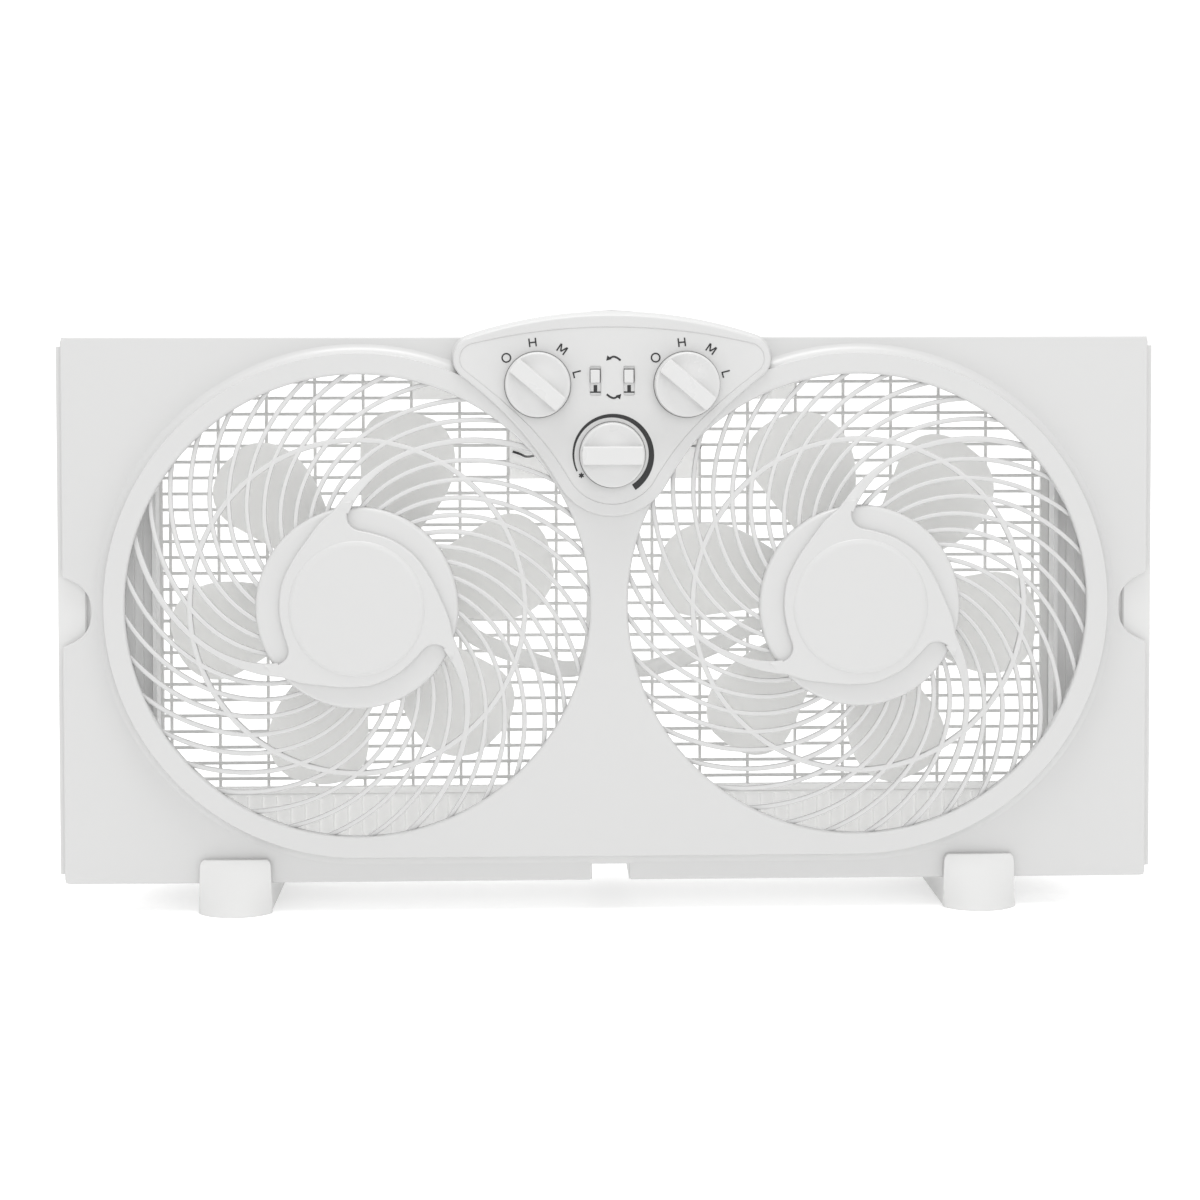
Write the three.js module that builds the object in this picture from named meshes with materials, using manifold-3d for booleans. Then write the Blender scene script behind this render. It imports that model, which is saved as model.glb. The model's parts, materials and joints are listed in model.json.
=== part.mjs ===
// Twin window fan: two nine-inch fans side by side in one moulded body, with a control console in the
// middle, four telescoping side panels at each end and two push-on feet.
//
// Units are millimetres. While the parts are drawn, x runs to the viewer's right, y runs away from the
// viewer from the raised front face, and z runs up from the body's lower edge. The last lines move the
// whole model so that it stands on z = 0, centred on x = 0 and y = 0.

import * as THREE from 'three';
import { mergeVertices } from 'three/addons/utils/BufferGeometryUtils.js';
import Module from 'manifold-3d';

const wasm = await Module();
wasm.setup();

// ---------------------------------------------------------------- driving dimensions

const clearance = 0.3; // between parts that seat on each other
const shellWall = 2.5; // both body shells

const bodyWidth = 597;
const bodyHeight = 300;
const bodyDepth = 100; // raised front face to the back of the rear shell
const plateStep = 8; // raised front face to the flat plate round it
const rearWidth = 529; // the part of the rear shell behind the side panels

const fanSpacing = 274;
const fanHeight = 153;
const openingRadius = 126.6;
const ringFlat = 11.4; // flat face of the raised ring round each opening
const ringFillet = 6;
const rimDepth = 12;
const neckHalf = 24; // half the raised web's width above the rings' nearest points
const facets = { ring: 36, hub: 24, motor: 16, bearing: 10 }; // sides of round parts
const grilleSeat = 3.1; // how far the grille's outer ring reaches under the ring's lip

const barCount = 36; // every twelfth one is an arm
const barWidth = 2.3;
const barDepth = 4.2;
const barSteps = 3;
const barRootDrop = 3; // the bars leave the hub this far behind its ledge
const barSweep = THREE.MathUtils.degToRad(54); // a bar's turn from the hub to the ring
const armWidth = 6.2; // at the hub; it tapers to the bar's width plus armExtra
const armExtra = 1;
const armAngle = THREE.MathUtils.degToRad(97);
const middleRingRadius = 91;
const middleRingWidth = 2.2;
const middleRingTurn = 2; // degrees, so that the bars meet its sides between their ends
const hubRadius = 55;
const hubBevel = 1.6;
const hubLedge = 9; // the hub's outer ledge in front of the raised face
const swirlRise = 3; // the swirl plate above that ledge
const swirlRadius = 42.5;
const bossRadius = 36.5;
const bossRise = 1;

const bladeCount = 6;
const bladeRadius = 108.5;
const bladeHalfAngle = THREE.MathUtils.degToRad(20.4);
const bladeThickness = 1.8;
const bladeCamber = 2.4;
const bladePlane = 46; // depth of the middle of the blades
const rootPitch = THREE.MathUtils.degToRad(33);
const tipPitch = THREE.MathUtils.degToRad(23);
const bladeHubRadius = 30;
const bladeHubDepth = 24;
const bladeHubWall = 2.2;

const shaftRadius = 4;
const motorRadius = 36;
const motorLength = 32;
const motorWall = 2;
const bearingRadius = 8;
const bearingLength = 6;
const airGap = 0.6;
const coreInset = 9.5; // from each end of the motor's case to the rotor core and the stator

const consoleX = 2; // the console sits this far to the right of the middle
const consoleRise = 2.5;
const consolePeak = 312.2;
const consoleWall = 2.2;
const insertFlange = 1; // the insert's flange reaches this far past its edge
const consoleLobe = 33.8; // radius of the lobe round the thermostat
const consoleCorner = { x: 74.8, z: 288, radius: 12 };
const insertPeak = 305.3;
const insertLobe = 27;
const insertCorner = { x: 74.5, z: 288, radius: 8.5 };

const speedKnobSpacing = 81.3;
const speedKnobHeight = 274;
const thermostatHeight = 235.7;
const knobRadius = 17.9;
const knobHeight = 15;
const knobGripHeight = 9;
const knobGripWidth = 9;
const offAngle = THREE.MathUtils.degToRad(139.5); // where a speed knob points when it is off
const spindleRadius = 3;
const sliderSpacing = 18.4;
const sliderHeight = 276;
const sliderSlot = { width: 6, height: 16 };
const sliderTravel = 6.5;
const switchBox = { front: 12.3, back: 31, wall: 2, inset: 1.5 };
const capacitor = { width: 12, height: 22, depth: 10, spacing: 42.8 };

const gridPitchX = 27.92;
const gridPitchZ = 9.21;
const gridUprights = 19;
const gridRows = 27;
const gridBottom = 34.5;
const gridHalfWidth = 259.7;
const gridBar = 1.8;
const gridLayer = 2.1; // depth of each of the two layers of bars
const gridBorder = 4;
const motorSeatRadius = 42;
const gridBlanks = [{ half: 55, from: 218 }, { half: 111, from: 264 }]; // closed behind the console

const leafCount = 4;
const leafHeight = 290;
const leafThickness = 1.6;
const leafPitch = 4.2;
const leafFront = 15.5; // depth of the first leaf's front
const leafSlack = 2.7; // from the last leaf to the wall behind the side panels
const leafLip = 2; // the hooks that stop one leaf against the next
const leafLipWidth = 1.8;
const leafStagger = 4.2;
const channelRib = { inner: 249, width: 2.2, front: 20 };
const endFlange = { width: 2.7, front: 12.5 };
const gripPlate = 12.5; // width of the pull behind the finger notch

const fingerNotch = { depth: 15.6, mouth: 39, throat: 24 };
const cordNotch = { x: 0.9, width: 20.6, height: 15 };
const glandRadius = 5;

const foot = { spacing: 410, width: 38.8, drop: 16, tab: 13.5, tabDepth: 4, tail: 12, topFront: 3.6 };

// ---------------------------------------------------------------- values that follow from them

const plateBack = plateStep + shellWall;
const fanSides = [['left', -1], ['right', 1]];
const fanX = (side) => side * fanSpacing / 2;
const ringOuter = openingRadius + ringFlat;
const seatRadius = openingRadius + grilleSeat;
const consoleFace = -consoleRise;
const rearInside = bodyDepth - shellWall;
const gridTop = gridBottom + gridRows * gridPitchZ;
const motorBack = bodyDepth - 2 * gridLayer - clearance - shellWall / 2 - clearance;
const motorFront = motorBack - motorLength;
const channelInner = channelRib.inner + channelRib.width;
const leafBottom = (bodyHeight - leafHeight) / 2;
const channelBack = leafFront + (leafCount - 1) * leafPitch + leafThickness + leafSlack;
const footBack = bodyDepth + foot.tail;

// ---------------------------------------------------------------- solids

/** A closed geometry as a solid that can be joined and cut. */
function solid(geometry) {
  const bare = geometry.clone();
  bare.deleteAttribute('normal');
  bare.deleteAttribute('uv');
  const merged = mergeVertices(bare, 1e-4);
  const index = merged.index.array;
  const triangles = [];
  for (let i = 0; i < index.length; i += 3) {
    const [a, b, c] = [index[i], index[i + 1], index[i + 2]];
    if (a !== b && b !== c && c !== a) triangles.push(a, b, c);
  }
  return new wasm.Manifold(new wasm.Mesh({
    numProp: 3,
    vertProperties: new Float32Array(merged.attributes.position.array),
    triVerts: new Uint32Array(triangles),
  }));
}

/** The geometry of a finished solid. */
function geometryOf(body) {
  const mesh = body.getMesh();
  const geometry = new THREE.BufferGeometry();
  geometry.setAttribute('position', new THREE.BufferAttribute(new Float32Array(mesh.vertProperties), 3));
  geometry.setIndex(new THREE.BufferAttribute(new Uint32Array(mesh.triVerts), 1));
  geometry.computeVertexNormals();
  return geometry;
}

const join = (bodies) => bodies.reduce((whole, body) => whole.add(body));

/** A block between two values on each axis, given in any order. */
function block(x0, x1, y0, y1, z0, z1) {
  const size = [Math.abs(x1 - x0), Math.abs(y1 - y0), Math.abs(z1 - z0)];
  const geometry = new THREE.BoxGeometry(...size);
  return solid(geometry.translate((x0 + x1) / 2, (y0 + y1) / 2, (z0 + z1) / 2));
}

/** A drum along y. */
function drum(x, z, radius, y0, y1, steps) {
  const geometry = new THREE.CylinderGeometry(radius, radius, y1 - y0, steps);
  return solid(geometry.translate(x, (y0 + y1) / 2, z));
}

/** A profile of [radius, depth] pairs turned about a line along y. */
function turned(profile, steps, x = 0, z = 0) {
  const points = profile.map(([radius, depth]) => new THREE.Vector2(radius, depth));
  return solid(new THREE.LatheGeometry(points, steps).translate(x, 0, z));
}

/** A ring of rectangular section about a line along y. */
function ring(inner, outer, y0, y1, steps, x = 0, z = 0) {
  return turned([[inner, y0], [outer, y0], [outer, y1], [inner, y1], [inner, y0]], steps, x, z);
}

/** An outline in x and z, carried straight back from y0 to y1. */
function prism(outline, y0, y1) {
  const geometry = new THREE.ExtrudeGeometry(new THREE.Shape(outline), { depth: y1 - y0, bevelEnabled: false });
  return solid(geometry.rotateX(Math.PI / 2).translate(0, y1, 0));
}

/** An outline in x and y, carried straight up from z0 to z1. */
function column(outline, z0, z1) {
  const geometry = new THREE.ExtrudeGeometry(new THREE.Shape(outline), { depth: z1 - z0, bevelEnabled: false });
  return solid(geometry.translate(0, 0, z1 > z0 ? z0 : z1));
}

/**
 * A skin over rings of points, one after another, with its two ends closed. Each ring runs
 * anticlockwise seen from the end that the rings lead to; flat() gives a point's place in the ends.
 */
function loft(rings, flat) {
  const count = rings[0].length;
  const positions = rings.flat().flatMap((point) => point.toArray());
  const index = [];
  for (let k = 0; k < rings.length - 1; k += 1) {
    for (let i = 0; i < count; i += 1) {
      const [a, b] = [k * count + i, k * count + (i + 1) % count];
      index.push(a, b, a + count, b, b + count, a + count);
    }
  }
  const cap = (ring) => THREE.ShapeUtils.triangulateShape(ring.map(flat), []);
  const last = (rings.length - 1) * count;
  for (const [a, b, c] of cap(rings[0])) index.push(a, c, b);
  for (const [a, b, c] of cap(rings[rings.length - 1])) index.push(last + a, last + b, last + c);
  const geometry = new THREE.BufferGeometry();
  geometry.setAttribute('position', new THREE.Float32BufferAttribute(positions, 3));
  geometry.setIndex(index);
  return solid(geometry);
}

const fromAbove = (point) => new THREE.Vector2(point.x, point.y);
const fromBehind = (point) => new THREE.Vector2(-point.x, point.z);

/** A skin between outlines in x and z at given depths, each running anticlockwise seen from the front. */
function faceLoft(sections) {
  return loft(sections.map(([depth, outline]) => (
    outline.map((p) => new THREE.Vector3(p.x, depth, p.y)).reverse())), fromBehind);
}

/** Points on a circular arc; the angles are in radians. */
function arc(x, z, radius, from, to, steps) {
  return Array.from({ length: steps + 1 }, (_, i) => {
    const angle = from + (to - from) * i / steps;
    return new THREE.Vector2(x + radius * Math.cos(angle), z + radius * Math.sin(angle));
  });
}

const polar = (radius, angle) => new THREE.Vector2(radius * Math.cos(angle), radius * Math.sin(angle));
const degrees = THREE.MathUtils.degToRad;

// ---------------------------------------------------------------- materials

const plastic = (color, roughness = 0.45) => new THREE.MeshStandardMaterial({ color, roughness, metalness: 0 });
const metal = (color, roughness) => new THREE.MeshStandardMaterial({ color, roughness, metalness: 1 });
const white = plastic(0xf2f2f0);
const greyWhite = plastic(0xe4e4e0, 0.55);
const bladeGrey = plastic(0xd9d9d4, 0.4);
const darkPlastic = plastic(0x2e2e30, 0.6);
const wireSheath = plastic(0xdcdcd8, 0.7);
const motorSteel = metal(0x9a9c9e, 0.4);
const laminations = metal(0x6d6f72, 0.5);
const shaftSteel = metal(0xc4c6c8, 0.25);

// ---------------------------------------------------------------- the assembly

const model = new THREE.Group();
const part = (name, body, material) => {
  const mesh = new THREE.Mesh(geometryOf(body), material);
  mesh.name = name;
  model.add(mesh);
};

// ---------------------------------------------------------------- front shell

/** The console's outline: a shield with a crowned top, two round shoulders and a lobe at the bottom. */
function shield({ peak, lobe, corner, inset = 0 }) {
  const [radius, lobeRadius, top] = [corner.radius - inset, lobe - inset, peak - inset];
  const drop = top - corner.z;
  const crown = (corner.x ** 2 + drop ** 2 - radius ** 2) / (2 * (drop - radius));
  const lean = Math.atan2(crown - drop, corner.x);
  const [shoulder, hip] = [degrees(52), degrees(30)];
  const side = (sign) => {
    const start = new THREE.Vector2(sign * (corner.x + radius * Math.cos(shoulder)),
      corner.z - radius * Math.sin(shoulder));
    const end = new THREE.Vector2(sign * lobeRadius * Math.cos(hip), thermostatHeight - lobeRadius * Math.sin(hip));
    const reach = start.distanceTo(end) * 0.37;
    const leave = new THREE.Vector2(-sign * Math.sin(shoulder), -Math.cos(shoulder));
    const arrive = new THREE.Vector2(-sign * Math.sin(hip), -Math.cos(hip));
    return new THREE.CubicBezierCurve(start, start.clone().addScaledVector(leave, reach),
      end.clone().addScaledVector(arrive, -reach), end).getPoints(6).slice(1, -1);
  };
  return [
    ...arc(0, top - crown, crown, lean, Math.PI - lean, 10),
    ...arc(-corner.x, corner.z, radius, Math.PI - lean, Math.PI + shoulder, 6).slice(1),
    ...side(-1),
    ...arc(0, thermostatHeight, lobeRadius, Math.PI + hip, 2 * Math.PI - hip, 8),
    ...side(1).reverse(),
    ...arc(corner.x, corner.z, radius, -shoulder, lean, 6).slice(0, -1),
  ].map((p) => new THREE.Vector2(p.x + consoleX, p.y));
}

const consoleOutline = (inset = 0) => shield({ peak: consolePeak, lobe: consoleLobe, corner: consoleCorner, inset });
const insertOutline = (inset = 0) => shield({ peak: insertPeak, lobe: insertLobe, corner: insertCorner, inset });

/** How the raised face falls back to the plate: [distance outwards, depth] pairs. */
function fallBack() {
  const steps = 2;
  return Array.from({ length: steps + 1 }, (_, i) => {
    const angle = Math.PI / 2 * i / steps;
    return [ringFillet * (1 - Math.cos(angle)), plateStep * Math.sin(angle)];
  });
}

/** One raised ring's disc. */
function ringDisc(side) {
  const edge = fallBack().map(([out, depth]) => [ringOuter + out, depth]);
  return turned([[0, 0], ...edge, [ringOuter + ringFillet, plateBack], [0, plateBack]], facets.ring,
    fanX(side), fanHeight);
}

/** The raised web between the rings, below and above their nearest points. */
function web() {
  const lower = fanHeight - ringOuter;
  const section = [
    ...fallBack().map(([out, depth]) => new THREE.Vector2(depth, lower - out)),
    new THREE.Vector2(plateBack, lower - ringFillet),
    new THREE.Vector2(plateBack, fanHeight),
    new THREE.Vector2(0, fanHeight),
  ];
  const geometry = new THREE.ExtrudeGeometry(new THREE.Shape(section), { depth: fanSpacing, bevelEnabled: false });
  const upright = new THREE.Matrix4().makeBasis(
    new THREE.Vector3(0, 1, 0), new THREE.Vector3(0, 0, 1), new THREE.Vector3(1, 0, 0));
  const low = solid(geometry.applyMatrix4(upright).translate(-fanSpacing / 2, 0, 0));
  return low.add(block(-neckHalf, neckHalf, 0, plateBack, fanHeight, thermostatHeight));
}

/** The hollow behind the raised face. */
function raisedHollow() {
  const back = plateBack + 1;
  return join([
    ...fanSides.map(([, side]) => drum(fanX(side), fanHeight, ringOuter - shellWall, shellWall, back, facets.ring)),
    block(-fanSpacing / 2, fanSpacing / 2, shellWall, back, fanHeight - ringOuter + shellWall, fanHeight),
    block(shellWall - neckHalf, neckHalf - shellWall, shellWall, back, fanHeight - 1, thermostatHeight),
    prism(consoleOutline(consoleWall), consoleFace + shellWall, back),
  ]);
}

function frontShell() {
  const crownInset = consoleRise + 0.5;
  const consoleBlock = faceLoft([
    [consoleFace, consoleOutline(crownInset)],
    [consoleFace + consoleRise, consoleOutline()],
    [plateBack, consoleOutline()],
  ]);
  const raised = join([...fanSides.map(([, side]) => ringDisc(side)), web()]);
  let shell = block(-bodyWidth / 2, bodyWidth / 2, plateStep, plateBack, 0, bodyHeight)
    .add(raised).add(consoleBlock).subtract(raisedHollow());
  shell = shell.subtract(prism(insertOutline(-clearance), consoleFace - 1, consoleFace + shellWall + 1));
  for (const [, side] of fanSides) {
    const rim = drum(fanX(side), fanHeight, seatRadius + clearance + shellWall, shellWall - clearance, rimDepth, facets.ring);
    const bore = drum(fanX(side), fanHeight, openingRadius, -plateStep, rimDepth + 1, facets.ring);
    const seat = drum(fanX(side), fanHeight, seatRadius + clearance, shellWall, rimDepth + 1, facets.ring);
    shell = shell.add(rim).subtract(bore).subtract(seat);
  }
  const crownBack = prism(consoleOutline(), plateBack - consoleWall, plateBack)
    .intersect(block(-bodyWidth / 2, bodyWidth / 2, 0, plateBack + 1, bodyHeight - shellWall, consolePeak + 1));
  shell = shell.add(crownBack);
  for (const [, side] of fanSides) shell = shell.subtract(notchCut(side));
  return shell.subtract(cordCut());
}

/** The bell-shaped finger notch in the body's side edge. */
function notchCut(side) {
  const edge = side * bodyWidth / 2;
  const middle = bodyHeight / 2;
  const { depth, mouth, throat } = fingerNotch;
  const at = (inward, up) => new THREE.Vector2(edge - side * inward, middle + up);
  const half = (sign) => new THREE.CubicBezierCurve(at(0, sign * mouth / 2), at(depth * 0.35, sign * mouth * 0.42),
    at(depth, sign * throat * 0.6), at(depth, 0)).getPoints(8);
  const outline = [at(-5, mouth / 2), ...half(1), ...half(-1).reverse().slice(1), at(-5, -mouth / 2)];
  return prism(outline, 0, plateBack + 1);
}

const cordCut = () => block(cordNotch.x - cordNotch.width / 2, cordNotch.x + cordNotch.width / 2,
  -plateStep, bodyDepth + 1, -1, cordNotch.height);

part('front_shell', frontShell(), white);

// ---------------------------------------------------------------- front grilles

/** Depth of the front of the grille's bars at a given radius: a shallow dome. */
function domeDepth(radius) {
  const t = THREE.MathUtils.clamp((radius - hubRadius) / (openingRadius - hubRadius), 0, 1);
  const rimFront = shellWall + 3 * clearance;
  return rimFront - (rimFront + hubLedge - barRootDrop) * Math.cos(t * Math.PI / 2);
}

/** One curved bar from inside the hub to the outer ring. width(t) gives its width along the way. */
function spiralBar(start, width, rise) {
  const [from, to] = [hubRadius - 1.2, openingRadius + clearance + 1];
  const rings = Array.from({ length: barSteps + 1 }, (_, i) => {
    const t = i / barSteps;
    const radius = from + (to - from) * t;
    const angle = start - barSweep * (radius - hubRadius) / (openingRadius - hubRadius);
    const centre = polar(radius, angle);
    const along = polar(1, angle).add(polar(radius * -barSweep / (openingRadius - hubRadius), angle + Math.PI / 2));
    const across = new THREE.Vector2(-along.y, along.x).setLength(width(t) / 2);
    const front = domeDepth(radius) - rise(t);
    const back = domeDepth(radius) + barDepth;
    const corner = (sign, depth) => new THREE.Vector3(centre.x + sign * across.x, depth, centre.y + sign * across.y);
    return [corner(1, front), corner(-1, front), corner(-1, back), corner(1, back)];
  });
  const count = 4;
  const index = [];
  for (let k = 0; k < barSteps; k += 1) {
    for (let i = 0; i < count; i += 1) {
      const [a, b] = [k * count + i, k * count + (i + 1) % count];
      index.push(a, b, a + count, b, b + count, a + count);
    }
  }
  const last = barSteps * count;
  index.push(0, 2, 1, 0, 3, 2, last, last + 1, last + 2, last, last + 2, last + 3);
  const geometry = new THREE.BufferGeometry();
  geometry.setAttribute('position', new THREE.Float32BufferAttribute(rings.flat().flatMap((p) => p.toArray()), 3));
  geometry.setIndex(index);
  return solid(geometry);
}

/** The swirl plate: a disc whose rim runs out into three arms, each with a small round pocket behind it. */
function swirlOutline() {
  const armCount = 3;
  const turn = 2 * Math.PI / armCount;
  const points = [];
  for (let k = 0; k < armCount; k += 1) {
    const arm = armAngle - k * turn;
    const next = arm - turn;
    points.push(...arc(0, 0, swirlRadius, arm - degrees(20), arm - degrees(56), 3));
    points.push(...new THREE.QuadraticBezierCurve(polar(swirlRadius, arm - degrees(56)),
      polar(swirlRadius + 5.5, arm - degrees(84)), polar(hubRadius + 3, next + degrees(3.5))).getPoints(4).slice(1));
    points.push(...new THREE.QuadraticBezierCurve(polar(hubRadius + 1.5, next - degrees(3.5)),
      polar(swirlRadius + 2.5, next - degrees(5)), polar(swirlRadius, next - degrees(20))).getPoints(4).slice(0, -1));
  }
  return points.reverse();
}

function frontGrille() {
  const bars = Array.from({ length: barCount }, (_, i) => {
    const start = armAngle + i * 2 * Math.PI / barCount;
    const isArm = i % (barCount / 3) === 0;
    const armTaper = (t) => barWidth + armExtra + (armWidth - barWidth - armExtra) * Math.max(0, 1 - 2.5 * t);
    return spiralBar(start, isArm ? armTaper : () => barWidth, (t) => (isArm ? swirlRise * Math.max(0, 1 - 4 * t) : 0));
  });
  const hub = turned([[0, -hubLedge], [hubRadius - hubBevel, -hubLedge], [hubRadius, -hubLedge + hubBevel],
    [hubRadius, 0], [0, 0]], facets.ring)
    .subtract(drum(0, 0, hubRadius - shellWall, shellWall - hubLedge, 1, facets.hub));
  const swirl = prism(swirlOutline(), -hubLedge - swirlRise, -hubLedge + shellWall / 2);
  const boss = turned([[0, -hubLedge - swirlRise - bossRise], [bossRadius - 1, -hubLedge - swirlRise - bossRise],
    [bossRadius, -hubLedge - swirlRise], [bossRadius, -hubLedge], [0, -hubLedge]], facets.hub);
  const outer = ring(openingRadius + clearance, seatRadius, shellWall + clearance, shellWall + clearance + 5.2, facets.ring);
  const middleFront = domeDepth(middleRingRadius) + 0.6;
  const middle = ring(middleRingRadius - middleRingWidth / 2, middleRingRadius + middleRingWidth / 2,
    middleFront, middleFront + 2.6, facets.ring).rotate([0, middleRingTurn, 0]);
  return join([hub, swirl, boss, outer, middle, ...bars]);
}

const grille = frontGrille();
for (const [name, side] of fanSides) {
  part(`${name}_front_grille`, grille.translate([fanX(side), 0, fanHeight]), white);
}

// ---------------------------------------------------------------- rear shell

/** The hump on top of the rear shell, behind the console. */
function rearHump(inset) {
  const [radius, peak] = [120 - inset, 314.6 - inset];
  const foot = Math.acos(1 - (peak - bodyHeight + 20) / radius);
  return [...arc(consoleX, peak - radius, radius, Math.PI / 2 - foot, Math.PI / 2 + foot, 20)];
}

function rearShell() {
  const front = plateBack + clearance;
  const [wide, narrow] = [bodyWidth / 2, rearWidth / 2];
  const channelWall = channelBack + shellWall;
  let shell = join([
    block(-wide, wide, front, channelWall, 0, bodyHeight),
    block(-narrow, narrow, front, bodyDepth, 0, bodyHeight),
    prism(rearHump(0), front, bodyDepth),
  ]);
  shell = shell.subtract(join([
    block(-wide - 1, wide + 1, front - 1, channelBack, shellWall, bodyHeight - shellWall),
    block(-narrow + shellWall, narrow - shellWall, channelBack - 1, rearInside, shellWall, bodyHeight - shellWall),
    prism(rearHump(shellWall), front - 1, rearInside),
  ]));
  for (const [, side] of fanSides) {
    shell = join([shell,
      block(side * channelRib.inner, side * channelInner, channelRib.front, channelWall, 0, bodyHeight),
      block(side * channelInner, side * narrow, channelBack, channelWall, 0, bodyHeight),
      block(side * (wide - shellWall), side * wide, channelBack - leafLip - clearance, channelWall, 0, bodyHeight),
      block(side * channelRib.inner, side * wide, front, channelWall, 0, leafBottom - clearance),
      block(side * channelRib.inner, side * wide, front, channelWall, leafBottom + leafHeight + clearance, bodyHeight),
    ]);
  }
  const channel = shellWall;
  shell = shell.add(block(cordNotch.x - cordNotch.width / 2 - channel, cordNotch.x + cordNotch.width / 2 + channel,
    front, bodyDepth, 0, cordNotch.height + channel)).subtract(cordCut());
  shell = shell.subtract(block(-gridHalfWidth, gridHalfWidth, rearInside - 1, bodyDepth + 1, gridBottom, gridTop));
  return shell.subtract(drum(glandX, glandHeight, glandRadius, rearInside - 20, bodyDepth + 1, 20));
}

const glandX = cordNotch.x + gridPitchX / 2;
const glandHeight = (cordNotch.height + gridBottom) / 2;

part('rear_shell', rearShell(), white);

/** The guard over the back: rows in front, uprights behind them, a border and two motor seats. */
function rearGrille() {
  const back = bodyDepth;
  const rowBack = back - gridLayer - clearance;
  const front = rowBack - gridLayer;
  const [w, z0, z1] = [gridHalfWidth - clearance, gridBottom + clearance, gridTop - clearance];
  const frame = block(-w, w, front, back, z0, z1)
    .subtract(block(-w + gridBorder, w - gridBorder, front - 1, back + 1, z0 + gridBorder, z1 - gridBorder));
  const pieces = [frame];
  for (let row = 1; row < gridRows; row += 1) {
    const z = gridBottom + row * gridPitchZ;
    pieces.push(block(-w + 1, w - 1, front, rowBack, z - gridBar / 2, z + gridBar / 2));
  }
  const half = (gridUprights - 1) / 2;
  for (let k = -half; k <= half; k += 1) {
    const x = k * gridPitchX;
    pieces.push(block(x - gridBar / 2, x + gridBar / 2, back - gridLayer, back, z0 + 1, z1 - 1));
  }
  for (const [, side] of fanSides) {
    pieces.push(drum(fanX(side), fanHeight, motorSeatRadius, motorBack + clearance, back, facets.motor));
  }
  for (const { half: reach, from } of gridBlanks) pieces.push(block(-reach, reach, front, back, from, z1 - 1));
  return join(pieces);
}

part('rear_grille', rearGrille(), greyWhite);

// ---------------------------------------------------------------- rotors and motors

/** Half the angle that a blade covers at a radius, on its straight or its rounded side. */
function bladeEdge(radius, roundFrom, power) {
  const t = THREE.MathUtils.clamp((radius - roundFrom) / (bladeRadius + 0.5 - roundFrom), 0, 1);
  return bladeHalfAngle * (1 - t ** power) ** (1 / power);
}

/** One blade: a twisted paddle of even thickness. */
function blade(middleAngle) {
  const radii = [bladeHubRadius - 1.2, 50, 68, 84, 96, 104, bladeRadius];
  const chord = [-1, 0, 1];
  const spot = (radius, across, lift) => {
    const spread = across > 0 ? bladeEdge(radius, 79, 2.5) : bladeEdge(radius, 62, 2);
    const offset = across * spread;
    const pitch = THREE.MathUtils.lerp(rootPitch, tipPitch, radius / bladeRadius);
    const camber = bladeCamber * (1 - across ** 2) * (spread / bladeHalfAngle);
    const at = polar(radius, middleAngle + offset);
    return new THREE.Vector3(at.x, bladePlane + offset * radius * Math.tan(pitch) + camber + lift, at.y);
  };
  const rings = radii.map((radius) => [
    ...chord.map((across) => spot(radius, across, -bladeThickness / 2)),
    ...chord.map((across) => spot(radius, across, bladeThickness / 2)).reverse(),
  ]);
  const count = rings[0].length;
  const index = [];
  for (let k = 0; k < rings.length - 1; k += 1) {
    for (let i = 0; i < count; i += 1) {
      const [a, b] = [k * count + i, k * count + (i + 1) % count];
      index.push(a, a + count, b, b, a + count, b + count);
    }
  }
  for (const start of [0, (rings.length - 1) * count]) {
    for (let i = 0; i < chord.length - 1; i += 1) {
      const [a, b, c, d] = [start + i, start + i + 1, start + count - 2 - i, start + count - 1 - i];
      index.push(...(start === 0 ? [a, b, c, a, c, d] : [a, c, b, a, d, c]));
    }
  }
  const geometry = new THREE.BufferGeometry();
  geometry.setAttribute('position', new THREE.Float32BufferAttribute(rings.flat().flatMap((p) => p.toArray()), 3));
  geometry.setIndex(index);
  return solid(geometry);
}

/** The rotor's moulding: blades round a domed cup that slides on the shaft. */
function fanRotor(firstAngle) {
  const [front, back] = [bladePlane - bladeHubDepth / 2, bladePlane + bladeHubDepth / 2];
  const bore = shaftRadius + clearance;
  const inside = bladeHubRadius - bladeHubWall;
  const cup = turned([[bore, front], [bladeHubRadius - 5, front], [bladeHubRadius, front + 5],
    [bladeHubRadius, back], [inside, back], [inside, front + 5], [8, front + 5], [8, back - 4],
    [bore, back - 4], [bore, front]], facets.hub);
  const hollow = drum(0, 0, inside, front + 5, back + 20, facets.hub);
  const blades = Array.from({ length: bladeCount }, (_, i) => (
    blade(firstAngle + i * 2 * Math.PI / bladeCount).subtract(hollow)));
  return join([cup, ...blades]);
}

/** One of the two pressed cups of a motor's case, the front one or its mirror image. */
function motorBell(isFront) {
  const half = motorLength / 2 - clearance / 2;
  const [r, w] = [motorRadius, motorWall];
  const pocket = bearingRadius + clearance;
  const [hole, floor, lipEnd] = [shaftRadius + 1.2, 1.4, bearingLength + 2];
  const profile = [[hole, 0], [r, 0], [r, half], [r - w, half], [r - w, w], [pocket + w, w], [pocket + w, lipEnd],
    [pocket, lipEnd], [pocket, floor], [hole, floor], [hole, 0]];
  if (isFront) return turned(profile.map(([radius, depth]) => [radius, motorFront + depth]), facets.motor);
  return turned(profile.map(([radius, depth]) => [radius, motorBack - depth]).reverse(), facets.motor);
}

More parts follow.
